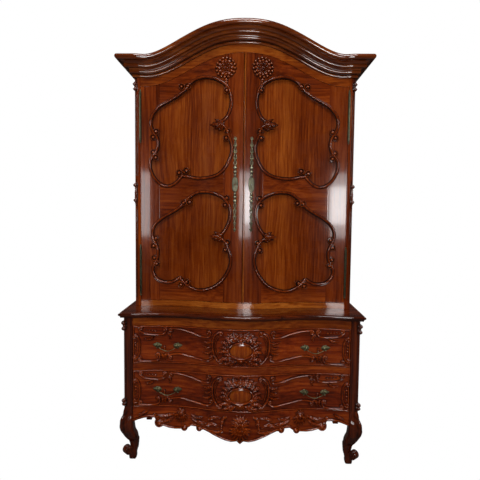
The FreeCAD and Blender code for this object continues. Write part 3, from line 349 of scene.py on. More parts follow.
@dataclass
class Carver:
    """Carves closed relief shapes bedded on a ground, which turns (a, b, out) into points.

    Args:
        ground: turns places along and up a front, and a distance out of it, into points.
        sink: metres by which the edges dip into the ground.
        flange: width of the dark line round every shape, a painted shadow.
        trough: more width for that painted shadow line on the right of a moulding.
        worn: tone of a moulding's crest, from 0 for dark to 1 for pale: a painted highlight with some rubbed
            wear.
        stock: the surfaces carved so far.
    """

    ground: Ground
    sink: float = 0.0015
    flange: float = 0.0022
    trough: float = 0.0
    worn: float = 1.0
    stock: Stock = field(default_factory=Stock)

    def ribbon(self, path: Array, reach: Array, out: Array, tone: Number) -> None:
        """Lays a grid along a path of the ground, each row square across it.

        Args:
            path: rows of (a, b).
            reach: distance to the left of the path, for each point of a row.
            out: height over the ground of each point.
            tone: tone of each point.
        """
        tangent = np.gradient(path, axis=0)
        tangent /= np.maximum(np.linalg.norm(tangent, axis=1, keepdims=True), 1e-9)
        across = rows(-tangent[:, 1], tangent[:, 0])
        place = path[:, None, :] + across[:, None, :] * reach[:, :, None]
        self.stock.grid(self.ground(place[..., 0], place[..., 1], out), tone)

    def strip(self, path: Array, width: Number, height: Number, columns: int = 9) -> None:
        """A moulding carried along a path of the ground.

        With v from -1 to 1 across it, its section is the root of 1 - v squared.

        Args:
            path: rows of (a, b).
            width: full width, one number or one a row.
            height: height over the ground, one number or one a row.
            columns: samples across it.
        """
        v = np.sin(np.linspace(-math.pi / 2, math.pi / 2, columns))
        half = np.broadcast_to(np.asarray(width) / 2, len(path))[:, None]
        high = np.broadcast_to(height, len(path))[:, None]
        # the skirt columns, at tone 0, are a rim of painted shadow round the moulding
        skirt = half + self.flange
        wide = skirt + self.trough
        reach = np.concatenate([-wide, -wide, half * v, skirt, skirt], axis=1)
        shape = np.concatenate([[0, 0], np.sqrt(np.maximum(1 - v**2, 0)), [0, 0]])
        low = np.concatenate([[-self.sink, LIP], np.zeros(columns), [LIP, -self.sink]])
        # the crest's tone lightens it: a painted highlight with some rubbed wear
        self.ribbon(path, reach, high * shape + low, self.worn * shape**0.8)

    def scroll(
        self, points: Line, width: float, height: float, curls: Curls, radius: float, count: int, taper: float
    ) -> None:
        """A strip on a smooth path that curls up into a ball at either end.

        Args:
            points: places that the path goes through.
            width: width in its middle.
            height: height in its middle.
            curls: way to curl at the start and at the end: 1 left, -1 right, 0 none.
            radius: radius of the curls.
            count: samples of the path.
            taper: share of the width that is left at its very ends.
        """
        path = spline(points, count)
        for turn in (curls[1], -curls[0]):
            if turn:
                path = curled(path, turn, radius)
                self.dome(path[-1], radius * BALL_SHARE, height * BALL_RISE)
            path = path[::-1]
        share = np.linspace(0, 1, len(path))
        near = np.minimum(share, 1 - share) * len(path) / (CURL_STEPS * 1.2)
        swell = taper + (1 - taper) * np.clip(near, 0, 1) ** 0.7
        self.strip(path, width * swell, height * (0.6 + 0.4 * swell))

    def leaf(self, points: Line, width: float, height: float, lobes: int = 4, count: int = 44) -> None:
        """A leaf with cut lobes and slanting veins along a smooth midrib.

        Its half width is the root of a sine over its length, cut in by the lobes, and its
        height is a dome across it, lowered along the veins and raised at the midrib.

        Args:
            points: midrib, from stem to tip.
            width: greatest width.
            height: greatest height.
            lobes: lobes a side.
            count: samples of the midrib.
        """
        u = np.linspace(0.02, 0.995, count)[:, None]
        v = np.linspace(-1, 1, 15)[None, :]
        body = np.sin(math.pi * u**0.75) ** 0.65
        half = width / 2 * body * (0.74 + 0.26 * np.abs(np.cos(math.pi * lobes * u)))
        vein = np.cos(math.tau * (lobes * 1.5 * u - 1.1 * np.abs(v)))
        dome = np.sqrt(np.maximum(1 - v**2, 0))
        high = height * (body**0.5 * dome * (0.72 + 0.20 * vein) + 0.22 * bell(v, 0, 0.14) * body)
        rim, flat = np.full_like(u, -self.sink), np.full_like(u, LIP)
        out = np.concatenate([rim, flat, high, flat, rim], axis=1)
        skirt = half + self.flange * body
        reach = np.concatenate([-skirt, -skirt, half * v, skirt, skirt], axis=1)
        # the rims get a tone near 0: a painted shadow round the leaf
        self.ribbon(spline(points, count), reach, out, np.clip(out / height, 0, 1))

    def polar(self, centre: Place, edge: Number, heights: Array, shares: Array, shine: float = 0.0) -> None:
        """A round relief: rings of an edge line, raised by a table of heights.

        Args:
            centre: its middle.
            edge: distance of the rim: one number, a pair along a and b, or one for each angle.
            heights: one row for each share, one column for each angle.
            shares: share of the rim's distance for each ring, from near 0 to 1.
            shine: how much of a painted highlight, a pale colour, the crown gets.
        """
        columns = heights.shape[1]
        angles = full_turn(columns)
        edge = np.broadcast_to(edge, (1, columns, 2))
        reach = shares[:, None, None] * edge
        # the skirt rings get tone 0: a painted shadow round the shape
        skirt = edge + self.flange
        reach = np.concatenate([reach, skirt, skirt, reach[:1]])
        a = centre[0] + reach[..., 0] * np.cos(angles)
        b = centre[1] + reach[..., 1] * np.sin(angles)
        low = np.full((1, columns), -self.sink)
        out = np.concatenate([heights, np.full((1, columns), LIP), low, low])
        tone = np.clip(out / max(float(heights.max()), 1e-6), 0, 1)
        # tones pushed over 1 at the crown are a painted highlight
        self.stock.grid(self.ground(a, b, out), tone + shine * np.clip((tone - 0.80) / 0.12, 0, 1))

    def dome(
        self, centre: Place, radius: float | Pair, height: float, sides: int = 16, shine: float = 0.0
    ) -> None:
        """A plain dome: height times the root of one less the squared share of the radius.

        Args:
            centre: its middle.
            radius: its radius, or a pair of them along a and b.
            height: height of its crown.
            sides: corners of a ring.
            shine: how much of a painted highlight, a pale colour, the crown gets.
        """
        shares = np.sin(np.linspace(0.06, math.pi / 2, 6))
        heights = height * np.sqrt(1 - shares**2 * 0.999)[:, None] * np.ones(sides)
        self.polar(centre, radius, heights, shares, shine)

    def hollow(self, centre: Place, radius: float) -> None:
        """A shallow dark round under a scroll end: a painted shadow, of tone 0, raised a little over the
        ground.
        """
        self.dome(centre, radius, 0.0012)
        self.stock.tones[-1] = self.stock.tones[-1] * 0

    def rosette(self, centre: Pair, radius: float, height: float, petals: int) -> None:
        """Petals round an eye: their height is a wave in angle on a ridge in radius.

        Args:
            centre: its middle.
            radius: outer radius.
            height: height of the petals.
            petals: how many.
        """
        angles = full_turn(petals * 8)
        shares = np.linspace(0.03, 1, 15)
        share = shares[:, None]
        wave, inner = np.abs(np.cos(petals * angles / 2)), np.abs(np.sin(petals * angles / 2))
        ring, core, eye = bell(share, 0.76, 0.20), bell(share, 0.36, 0.12), bell(share, 0, 0.16)
        heights = height * (ring * (0.25 + 0.85 * wave**0.6) + 0.8 * core * inner + 0.9 * eye)
        heights *= np.clip((1 - share) / 0.06, 0, 1) ** 0.5
        self.polar(centre, (radius * (0.86 + 0.14 * wave))[:, None], heights, shares)

    def fan(self, foot: Pair, radius: float, height: float, petals: int, span: Pair, inner: float) -> None:
        """A palmette: leaves that spread from a foot over a span of angles.

        Args:
            foot: where the leaves meet.
            radius: reach of the middle leaf.
            height: height of the leaves.
            petals: how many.
            span: first and last angle in degrees.
            inner: share of the radius where the leaves start.
        """
        middle = math.radians((span[0] + span[1]) / 2)
        for angle in np.radians(np.linspace(span[0], span[1], petals)):
            reach = radius * (0.80 + 0.20 * math.cos((angle - middle) * 1.3))
            way = np.array([math.cos(angle), math.sin(angle)])
            side = np.array([-way[1], way[0]]) * math.copysign(1, angle - middle) * reach
            bend = 0.05 if abs(angle - middle) > 1e-3 else 0.0
            points = foot + np.stack([way * radius * inner, way * reach * 0.65 - side * bend, way * reach])
            width = reach * abs(math.radians(span[1] - span[0])) / petals * 0.95
            self.leaf(points, width, height, lobes=2, count=26)

    def knot(self, centre: Place, start: Place, turn: int, ball: float, width: float, height: float) -> None:
        """A scroll end: an arm that leaves a line and winds in round a ball.

        The arm's radius falls from the line's distance to just outside the ball as it turns.

        Args:
            centre: the ball's middle.
            start: the point of the line that the arm leaves.
            turn: 1 to wind left about, -1 to wind right about.
            ball: radius of the ball.
            width: width of the arm.
            height: height of the arm.
        """
        arm = np.subtract(start, centre)
        near = ball + width * 1.1
        share = np.linspace(0, 1, 34)
        angle = math.atan2(arm[1], arm[0]) + turn * math.radians(400) * share
        radius = near + (float(np.linalg.norm(arm)) - near) * (1 - share) ** 3
        path = centre + rows(np.cos(angle), np.sin(angle)) * radius[:, None]
        fade = 1 - 0.45 * share
        # painted shadow: a dark disc under the ball and a halved dark rim; painted highlight: a pale arm
        # crest and a paler crown on the ball
        kept = self.flange, self.trough, self.worn
        self.flange, self.trough, self.worn = self.flange * 0.5, 0.0, 0.9
        self.hollow(centre, ball * 2.0)
        self.strip(path, width * fade, height * fade, columns=7)
        self.dome(centre, ball, height * 1.4, shine=0.1)
        self.flange, self.trough, self.worn = kept

    def beads(self, points: Line, first: float, last: float, height: float, count: int) -> None:
        """A row of balls along a smooth line, growing or shrinking evenly.

        Args:
            points: places that the line goes through.
            first: radius of the first ball.
            last: radius of the last one.
            height: height of the largest.
            count: how many.
        """
        for place, size in zip(spline(points, count), np.linspace(first, last, count)):
            self.dome(place, size, height * size / max(first, last), sides=12)


# Finishes.

Socket = bpy.types.NodeSocket
COLOUR, NUMBER, VECTOR = "NodeSocketColor", "NodeSocketFloat", "NodeSocketVector"


@dataclass(frozen=True)
class Look:
    """A timber or a metal: its fields bear the names of its node group's sockets."""

    def sockets(self) -> dict[str, object]:
        """Values for the sockets of its node group."""
        values = {name.title(): value for name, value in vars(self).items() if name != "coat"}
        return {name: (*value, 1) if isinstance(value, tuple) else value for name, value in values.items()}

    def polish(self) -> dict[str, object]:
        """Values for the shader's own sockets, of which a metal keeps the usual ones."""
        return {}


@dataclass(frozen=True)
class Wood(Look):
    """Colours and polish of one stock of timber.

    Args:
        dark: colour of the dark streaks.
        mid: colour of the body of the wood.
        light: colour of the light streaks.
        streaks: streaks to the metre across the grain.
        gloss: roughness of the polish.
        coat: refraction of the polish's clear coat; higher catches more light.
    """

    dark: Triple
    mid: Triple
    light: Triple
    streaks: float = 60.0
    gloss: float = 0.24
    coat: float = 1.5

    def polish(self) -> dict[str, object]:
        """Values for the shader's own sockets."""
        return {"Coat_Roughness": 0.08, "Coat_IOR": self.coat, "IOR": 1.4, "Specular_IOR_Level": 0.10}


@dataclass(frozen=True)
class Cast(Look):
    """Colours and wear of a metal.

    Args:
        bright: rubbed metal.
        dull: tarnished metal.
        deep: grime in the hollows.
        rough: roughness of the metal.
    """

    bright: Triple
    dull: Triple
    deep: Triple
    rough: float = 0.34


@dataclass(frozen=True)
class Finish:
    """One material of the press.

    Args:
        name: name of the material.
        look: the timber or metal it shows.
        grain: the way of the grain.
        shift: metres by which the figure is moved, so that pieces differ.
        slot: the record's slot of what wears it.
        carved: True for pieces that carry the tone attribute.
    """

    name: str
    look: Look
    grain: Grain = Grain.ACROSS
    shift: float = 0.0
    slot: Slot = Slot.POLISHED
    carved: bool = False


class Sheet:
    """A small helper that wires a node tree by short calls."""

    def __init__(self, owner: bpy.types.ID) -> None:
        """Takes a node group as it is, or the emptied tree of a material or world.

        Args:
            owner: the node group, material or world.
        """
        self.tree = owner
        if not isinstance(owner, bpy.types.NodeTree):
            owner.use_nodes = True
            self.tree = owner.node_tree
            self.tree.nodes.clear()

    def node(self, kind: str, **inputs: object) -> bpy.types.Node:
        """Adds a node, sets or links its named inputs, and its own settings.

        A name that the node has as a property is set as one; other names are inputs, with
        underscores read as spaces. A socket given is linked, any other value set.

        Args:
            kind: the node's type.
            inputs: values or sockets by name.

        Returns:
            The node.
        """
        node = self.tree.nodes.new(kind)
        own = [name for name in inputs if name in node.bl_rna.properties]
        for name in own:
            setattr(node, name, inputs.pop(name))
        for name, value in inputs.items():
            socket = node.inputs[int(name[1:]) if name[1:].isdigit() else name.replace("_", " ")]
            if isinstance(value, Socket):
                self.tree.links.new(value, socket)
            else:
                socket.default_value = value
        return node

    def noise(self, place: Socket, scale: object, detail: float, rough: float = 0.5) -> Socket:
        """Cloudy noise at a place, given back as a socket."""
        kind = "ShaderNodeTexNoise"
        return self.node(kind, Vector=place, Scale=scale, Detail=detail, Roughness=rough).outputs[0]

    def math(self, operation: str, first: object, second: object = 0.0, third: object = 0.0) -> Socket:
        """One sum of the node tree, given back as a socket."""
        return self.node("ShaderNodeMath", operation=operation, _0=first, _1=second, _2=third).outputs[0]

    def vector(self, operation: str, first: Socket, second: object) -> Socket:
        """One sum of two vectors, given back as a socket."""
        return self.node("ShaderNodeVectorMath", operation=operation, _0=first, _1=second).outputs[0]

    def blend(self, share: Socket, first: Socket, second: object) -> Socket:
        """A mix of two colours by a share, given back as a socket."""
        return self.node("ShaderNodeMix", data_type="RGBA", _0=share, _6=first, _7=second).outputs[2]

    def spread(self, value: Socket, low: float, high: float, bottom: float = 0.0, top: float = 1.0) -> Socket:
        """A value taken from one range to another and held within it, given back as a socket."""
        ranges = {"From_Min": low, "From_Max": high, "To_Min": bottom, "To_Max": top}
        return self.node("ShaderNodeMapRange", Value=value, **ranges).outputs[0]

    def for_camera(self, others: bpy.types.Node, camera: bpy.types.Node, out: str) -> None:
        """Joins two shaders to an output: one for the camera, one for all other rays.

        Args:
            others: the shader that lights the press.
            camera: the shader that the camera sees.
            out: type of the output node.
        """
        path = self.node("ShaderNodeLightPath").outputs["Is Camera Ray"]
        pick = self.node("ShaderNodeMixShader", _0=path, _1=others.outputs[0], _2=camera.outputs[0])
        self.node(out, Surface=pick.outputs[0])


def group(name: str, inputs: dict[str, str], outputs: dict[str, str]) -> tuple[Sheet, dict[str, Socket]]:
    """Starts a shader node group with named sockets.

    Args:
        name: the group's name.
        inputs: socket type of each input.
        outputs: socket type of each output.

    Returns:
        A helper on the tree, and the sockets that carry its inputs.
    """
    tree = bpy.data.node_groups.new(name, "ShaderNodeTree")
    for way, sockets in (("INPUT", inputs), ("OUTPUT", outputs)):
        for label, kind in sockets.items():
            tree.interface.new_socket(name=label, in_out=way, socket_type=kind)
    sheet = Sheet(tree)
    return sheet, dict(sheet.node("NodeGroupInput").outputs.items())


def polished_wood_group() -> bpy.types.NodeTree:
    """Figured wood under polish: drawn-out streaks, open pores, uneven gloss, painted shade in hollows and a
    painted highlight on crests.

    Along is taken as the X of the place it is given; the streaks are noise drawn out along
    it, bent by a slow wave, and the pores are fine noise drawn out even more.

    Returns:
        The node group.
    """
    colours = {"Dark": COLOUR, "Mid": COLOUR, "Light": COLOUR}
    sheet, read = group(
        "polished_wood",
        {"Place": VECTOR, **colours, "Streaks": NUMBER, "Gloss": NUMBER, "Tone": NUMBER},
        {"Base Color": COLOUR, "Roughness": NUMBER, "Normal": VECTOR, "Coat Weight": NUMBER},
    )
    spot, tone = read["Place"], read["Tone"]
    slow = sheet.node("ShaderNodeTexNoise", Vector=spot, Scale=2.3, Detail=2.0).outputs["Color"]
    bend = sheet.node("ShaderNodeVectorMath", operation="SCALE", _0=slow, _3=0.035).outputs[0]
    place = sheet.vector("ADD", spot, bend)
    long = sheet.vector("MULTIPLY", place, (0.035, 1.0, 1.0))
    fibre = sheet.vector("MULTIPLY", place, (0.03, 1.0, 1.0))
    broad = sheet.math("MULTIPLY", sheet.noise(long, 9.0, 3.0), 0.4)
    figure = sheet.math("MULTIPLY_ADD", sheet.noise(long, read["Streaks"], 5.0, 0.62), 0.6, broad)
    pores = sheet.spread(sheet.noise(fibre, 620.0, 2.0), 0.30, 0.42, 0.55, 0.0)
    # painted shade: low tones, at the carving's hollows and rims, are darkened towards near black as though
    # shade fell there; they also roughen and thin the coat
    hollow = sheet.spread(tone, 0.0, 0.5, 0.9, 0.0)
    body = sheet.blend(sheet.spread(figure, 0.36, 0.50), read["Dark"], read["Mid"])
    body = sheet.blend(sheet.spread(figure, 0.49, 0.66), body, read["Light"])
    body = sheet.blend(sheet.spread(sheet.noise(spot, 3.1, 2.0), 0.35, 0.7, 0.0, 0.45), body, read["Dark"])
    body = sheet.blend(pores, body, read["Dark"])
    # mixes in the painted shade
    body = sheet.blend(hollow, body, (0.006, 0.0025, 0.0018, 1))
    # painted highlight, with some rubbed wear: tones from 0.70 up lighten towards the light streak colour
    body = sheet.blend(sheet.spread(tone, 0.70, 1.0, 0.0, 0.65), body, read["Light"])
    # painted highlight: tones over 1, raised by shine, mix in a pale pinkish colour
    body = sheet.blend(sheet.spread(tone, 1.0, 1.6, 0.0, 0.85), body, (0.62, 0.36, 0.22, 1))
    haze = sheet.spread(sheet.noise(spot, 14.0, 4.0), 0.35, 0.7, -0.03, 0.13)
    rough = sheet.math("MULTIPLY_ADD", pores, 0.25, sheet.math("ADD", read["Gloss"], haze))
    rough = sheet.math("MULTIPLY_ADD", hollow, 0.2, rough)
    sunk = sheet.math("MULTIPLY", pores, -0.5)
    height = sheet.math("MULTIPLY_ADD", sheet.noise(spot, 7.0, 1.0), 6.0, sunk)
    bump = sheet.node("ShaderNodeBump", Strength=0.22, Distance=0.0006, Height=height).outputs[0]
    coat = sheet.math("SUBTRACT", 0.75, sheet.math("MULTIPLY", hollow, 0.6))
    sheet.node("NodeGroupOutput", Base_Color=body, Roughness=rough, Normal=bump, Coat_Weight=coat)
    return sheet.tree


def metal_group() -> bpy.types.NodeTree:
    """Old metal: bright where rubbed, tarnished elsewhere, dark in hollows, finely pitted.

    Returns:
        The node group.
    """
    colours = {"Bright": COLOUR, "Dull": COLOUR, "Deep": COLOUR}
    sheet, read = group(
        "old_metal",
        {"Place": VECTOR, **colours, "Rough": NUMBER, "Tone": NUMBER},
        {"Base Color": COLOUR, "Roughness": NUMBER, "Normal": VECTOR, "Metallic": NUMBER},
    )
    cloud = sheet.noise(read["Place"], 38.0, 5.0)
    pit = sheet.noise(read["Place"], 420.0, 3.0)
    shift = sheet.math("MULTIPLY_ADD", read["Tone"], 0.5, sheet.math("MULTIPLY", cloud, 0.75))
    grime = sheet.spread(read["Tone"], 0.0, 0.45, 0.9, 0.0)
    body = sheet.blend(sheet.spread(shift, 0.40, 0.82), read["Dull"], read["Bright"])
    body = sheet.blend(grime, body, read["Deep"])
    rough = sheet.math("ADD", read["Rough"], sheet.spread(cloud, 0.3, 0.7, 0.16, -0.06))
    rough = sheet.math("MULTIPLY_ADD", grime, 0.25, rough)
    bump = sheet.node("ShaderNodeBump", Strength=0.35, Distance=0.0004, Height=pit).outputs[0]
    metallic = sheet.math("SUBTRACT", 1.0, sheet.math("MULTIPLY", grime, 0.55))
    sheet.node("NodeGroupOutput", Base_Color=body, Roughness=rough, Normal=bump, Metallic=metallic)
    return sheet.tree


class Finishes:
    """Every material of the press, made once from the two shared groups."""

    def __init__(self) -> None:
        """Makes the groups and an empty store of materials."""
        self.groups = {Wood: polished_wood_group(), Cast: metal_group()}
        self.made: dict[str, bpy.types.Material] = {}

    def make(self, finish: Finish) -> bpy.types.Material:
        """The material of a finish, made the first time it is asked for.

        Args:
            finish: what it looks like.

        Returns:
            The material.
        """
        if finish.name in self.made:
            return self.made[finish.name]
        material = bpy.data.materials.new(finish.name)
        sheet = Sheet(material)
        place = sheet.node("ShaderNodeTexCoord").outputs["Object"]
        moved = (finish.shift, finish.shift * 0.7, finish.shift)
        place = sheet.node("ShaderNodeMapping", Vector=place, Location=moved, Rotation=finish.grain.value)
        tone: object = 0.6
        if finish.carved:
            tone = sheet.node("ShaderNodeAttribute", attribute_name="tone").outputs["Fac"]
        inputs = {"Place": place.outputs[0], "Tone": tone, **finish.look.sockets()}
        dress = sheet.node("ShaderNodeGroup", node_tree=self.groups[type(finish.look)], **inputs)
        shader = sheet.node("ShaderNodeBsdfPrincipled", **finish.look.polish())
        for socket in dress.outputs:
            sheet.tree.links.new(socket, shader.inputs[socket.name])
        sheet.node("ShaderNodeOutputMaterial", Surface=shader.outputs[0])
        self.made[finish.name] = material
        return material


MAHOGANY = Wood((0.030, 0.0036, 0.0006), (0.110, 0.0140, 0.0016), (0.24, 0.042, 0.005))
GOLDEN = Wood((0.120, 0.0180, 0.0012), (0.300, 0.0650, 0.0060), (0.50, 0.150, 0.020), 90.0, 0.22)
TOP_RAIL = Wood((0.100, 0.0130, 0.0010), (0.270, 0.0480, 0.0040), (0.46, 0.115, 0.012), 80.0)
STAINED = Wood((0.040, 0.0070, 0.0020), (0.110, 0.0220, 0.0060), (0.20, 0.050, 0.014), 50.0, 0.5, 1.12)
BAND = Wood((0.066, 0.0070, 0.0006), (0.215, 0.0280, 0.0020), (0.42, 0.085, 0.008), 70.0)
RAIL = Wood((0.060, 0.0070, 0.0007), (0.180, 0.0250, 0.0022), (0.33, 0.064, 0.007), 80.0)
PANEL = Wood((0.080, 0.0095, 0.0007), (0.215, 0.0350, 0.0028), (0.38, 0.090, 0.010), 125.0)
DRAWER = Wood((0.055, 0.0052, 0.0005), (0.190, 0.0200, 0.0014), (0.37, 0.060, 0.006), 70.0)
PLAIN = Wood((0.16, 0.085, 0.040), (0.26, 0.150, 0.075), (0.38, 0.240, 0.130), 45.0, 0.5, 1.12)
SWEPT = Wood((0.060, 0.0085, 0.0007), (0.195, 0.0340, 0.0028), (0.37, 0.085, 0.009), gloss=0.18, coat=2.0)
NOSING = Wood((0.022, 0.0028, 0.0005), (0.085, 0.0105, 0.0012), (0.20, 0.034, 0.005), gloss=0.18, coat=1.7)
SCROLLED = Wood((0.060, 0.0070, 0.0007), (0.175, 0.0240, 0.0022), (0.34, 0.064, 0.007), gloss=0.20, coat=1.6)
CARTOUCHE = Wood((0.110, 0.0120, 0.0008), (0.290, 0.0470, 0.0030), (0.50, 0.120, 0.010), 110.0, 0.26)
CARVED = Wood((0.055, 0.0052, 0.0005), (0.195, 0.0215, 0.0015), (0.40, 0.066, 0.007), gloss=0.18, coat=1.75)
SHADED = Wood((0.022, 0.0026, 0.0005), (0.080, 0.0096, 0.0012), (0.18, 0.030, 0.005), gloss=0.20, coat=1.7)
BRASS = Cast((0.22, 0.195, 0.100), (0.070, 0.068, 0.040), (0.010, 0.009, 0.006))
PLATE_BRASS = Cast((0.56, 0.53, 0.36), (0.215, 0.205, 0.130), (0.012, 0.012, 0.008))
HINGE_BRASS = Cast((0.110, 0.108, 0.064), (0.040, 0.042, 0.027), (0.006, 0.006, 0.004))
STEEL = Cast((0.34, 0.33, 0.31), (0.16, 0.155, 0.145), (0.03, 0.028, 0.025), 0.42)

CORNICE_WOOD = Finish("cornice_wood", SWEPT, shift=0.5, carved=True)
BOARD_WOOD = Finish("board_wood", NOSING, shift=1.1, carved=True)
DOOR_RELIEF = Finish("door_relief", SCROLLED, Grain.UPRIGHT, carved=True)
LEG_WOOD = Finish("leg_wood", SHADED, Grain.UPRIGHT, carved=True)
BOSS_WOOD = Finish("boss_upright", CARTOUCHE, Grain.UPRIGHT, 0.1, carved=True)
RELIEF = Finish("relief_across", CARVED, shift=0.3, carved=True)
BEAD_WOOD = Finish("bead_across", DRAWER, shift=0.8, carved=True)
PLATE_CAST = Finish("plate_brass", PLATE_BRASS, slot=Slot.BRASS, carved=True)
PULL_CAST = Finish("brass_cast", BRASS, slot=Slot.BRASS, carved=True)
HINGE_CAST = Finish("hinge_cast", HINGE_BRASS, slot=Slot.BRASS, carved=True)
SIDE_WOOD = Finish("side_upright", MAHOGANY, Grain.UPRIGHT, 0.9)

# finishes of the boards by a word in their name, of which the first that fits is taken
BOARDS: tuple[tuple[str, Finish], ...] = (
    ("stile", Finish("stile_upright", RAIL, Grain.UPRIGHT)),
    ("hinge", Finish("hinge_brass", HINGE_BRASS, slot=Slot.BRASS)),
    ("bail|pull|escutcheon", Finish("brass", BRASS, slot=Slot.BRASS)),
    ("bolt|lock_case", Finish("steel", STEEL, slot=Slot.STEEL)),
    ("door_panels", Finish("panel_upright", PANEL, Grain.UPRIGHT, 0.31, Slot.PANEL)),
    ("door_rails", Finish("rail_across", RAIL, shift=0.7)),
    ("meeting_bead", Finish("golden_upright", GOLDEN, Grain.UPRIGHT, 1.9)),
    ("runners|drawer_sides|cleats", Finish("plain_deep", PLAIN, Grain.DEEP, 0.2, Slot.INNER)),
    ("lower_back|back_boards", Finish("plain_upright", PLAIN, Grain.UPRIGHT, 0.2, Slot.INNER)),
    (
        "dust_board|shelves|upper_bottom|drawer_back|drawer_bottom",
        Finish("plain_across", PLAIN, shift=0.2, slot=Slot.INNER),
    ),
    ("upper_roof", Finish("stained_across", STAINED, shift=0.2, slot=Slot.INNER)),
    ("upper_drawer_front", Finish("upper_drawer_front_across", DRAWER, shift=0.4)),
    ("lower_drawer_front", Finish("lower_drawer_front_across", DRAWER, shift=1.3)),
    ("base_strip", Finish("golden_across", GOLDEN, shift=2.7)),
    ("door_frieze|frieze_rail", Finish("strip_across", TOP_RAIL, shift=2.7)),
    ("drawer_divider", Finish("band_across", BAND, shift=2.1)),
    ("apron", Finish("apron_across", DRAWER, shift=2.1)),
    ("commode_board", Finish("board_across", MAHOGANY, shift=1.7)),
    ("upper_post", Finish("post_upright", BAND, Grain.UPRIGHT, 0.5)),
)


def shown(name: str, data: bpy.types.ID) -> bpy.types.Object:
    """Stands a mesh, camera or lamp in the scene.

    Args:
        name: name of the object.
        data: what it is made of.

    Returns:
        The object.
    """
    thing = bpy.data.objects.new(name, data)
    bpy.context.scene.collection.objects.link(thing)
    return thing


@dataclass
class Part:
    """A sub-assembly of the press.

    Args:
        finishes: the store that it takes its materials from.
    """

    finishes: Finishes

    def piece(
        self,
        name: str,
        stock: Stock,
        finish: Finish,
        body: str = "carcase",
        replaced: Sequence[str] = (),
        sharp: float = 40.0,
    ) -> None:
        """Stands surfaces in the scene as one piece that rides on a body of the frame.

        Args:
            name: name of the piece.
            stock: its surfaces.
            finish: its finish.
            body: the body that it rides on.
            replaced: nodes of the frame whose place it takes.
            sharp: angle in degrees from which an edge stays sharp.
        """
        mesh = stock.mesh(name, sharp)
        mesh.materials.append(self.finishes.make(finish))
        piece = shown(name, mesh)
        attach(piece, body)
        if replaced:
            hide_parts(*replaced)
        log.info("%s: %d faces on %s", name, len(mesh.polygons), body)


# The studio.


@dataclass(frozen=True)
class Studio:
    """Camera and lamps of the picture.

    Args:
        eye: place of the lens, in metres.
        yaw: turn to the left, in degrees.
        pitch: tilt downwards, in degrees.
        roll: turn about the line of sight, in degrees.
        focus: focal length in picture widths.
        sensor: width of the sensor in millimetres.
    """

    eye: Triple = (0.0486, -2.6177, 1.3886)
    yaw: float = -1.4421
    pitch: float = 3.634
    roll: float = 0.5889
    focus: float = 447.28 / 480
    sensor: float = 36.0

    def stand(self, thing: bpy.types.Object, side: Array, back: Array, place: Triple) -> None:
        """Turns a camera or lamp and moves it to its place.

        Args:
            thing: the camera or lamp.
            side: its right hand.
            back: the way it turns its back to.
            place: where it stands.
        """
        turn = np.eye(4)
        turn[:3] = np.column_stack([side, np.cross(back, side), back, place])
        thing.matrix_world = Matrix(turn.tolist())

    def camera(self) -> None:
        """Stands the camera at the picture's place and angle."""
        data = bpy.data.cameras.new("camera")
        data.sensor_width = self.sensor
        data.lens = self.sensor * self.focus
        camera = shown("camera", data)
        yaw, pitch, roll = (math.radians(angle) for angle in (self.yaw, self.pitch, self.roll))
        level = math.cos(pitch)
        ahead = np.array([math.sin(yaw) * level, math.cos(yaw) * level, -math.sin(pitch)])
        right = np.array([math.cos(yaw), -math.sin(yaw), 0.0])
        across = right * math.cos(roll) - np.cross(ahead, right) * math.sin(roll)
        self.stand(camera, across, -ahead, self.eye)
        bpy.context.scene.camera = camera

    def lamp(self, name: str, place: Triple, aim: Triple, size: Pair, watts: float) -> None:
        """A soft rectangular lamp.

        Args:
            name: its name.
            place: where it hangs.
            aim: the point it faces.
            size: width and height of its pane.
            watts: its strength.
        """
        data = bpy.data.lights.new(name, "AREA")
        data.shape = "RECTANGLE"
        data.size, data.size_y = size
        data.energy = watts
        back = np.subtract(place, aim)
        back /= np.linalg.norm(back)
        side = np.cross([0.0, 0.0, 1.0], back)
        side /= np.linalg.norm(side)
        self.stand(shown(name, data), side, back, place)

    def world(self) -> None:
        """White behind the press for the camera, and a dim room for everything else."""
        world = bpy.data.worlds.new("world")
        sheet = Sheet(world)
        white = sheet.node("ShaderNodeBackground", Color=(1, 1, 1, 1), Strength=1.0)
        room = sheet.node("ShaderNodeBackground", Color=(1.0, 0.97, 0.93, 1), Strength=0.03)
        sheet.for_camera(room, white, "ShaderNodeOutputWorld")
        bpy.context.scene.world = world

    def floor(self, half: float = 40.0) -> None:
        """A wide pale floor, bright enough to melt into the white behind it.

        Args:
            half: half its width.
        """
        mesh = bpy.data.meshes.new("floor")
        corners = [(-half, -half, 0.0), (half, -half, 0.0), (half, half, 0.0), (-half, half, 0.0)]
        mesh.from_pydata(corners, [], [(0, 1, 2, 3)])
        finish = bpy.data.materials.new("floor")
        sheet = Sheet(finish)
        matt = sheet.node("ShaderNodeBsdfDiffuse", Color=(0.09, 0.085, 0.08, 1))
        bright = sheet.node("ShaderNodeEmission", Color=(1, 1, 1, 1), Strength=1.0)
        sheet.for_camera(matt, bright, "ShaderNodeOutputMaterial")
        mesh.materials.append(finish)
        shown("floor", mesh)

    def build(self) -> None:
        """Sets the camera, the world, the floor and the lamps."""
        self.camera()
        self.world()
        self.floor()
        front, rear = (0.0, 0.0, 1.2), (0.0, 0.3, 1.2)
        self.lamp("near_lamp", (0.25, -2.9, 1.47), front, (0.45, 0.45), 10)
        self.lamp("near_window", (0.05, -3.1, 1.47), front, (0.70, 0.80), 13)
        self.lamp("left_window", (-3.0, -2.4, 2.4), front, (0.5, 1.2), 28)
        self.lamp("right_window", (3.2, -1.9, 2.2), front, (0.5, 1.2), 24)
        self.lamp("top_lamp", (0.0, -2.4, 5.2), front, (2.4, 1.2), 94)
        self.lamp("left_rear_lamp", (-3.2, 2.6, 4.8), rear, (1.6, 1.6), 130)
        self.lamp("right_rear_lamp", (3.4, 2.4, 4.8), rear, (1.6, 1.6), 130)
        bpy.context.scene.view_settings.view_transform = "Standard"


# Plain pieces.


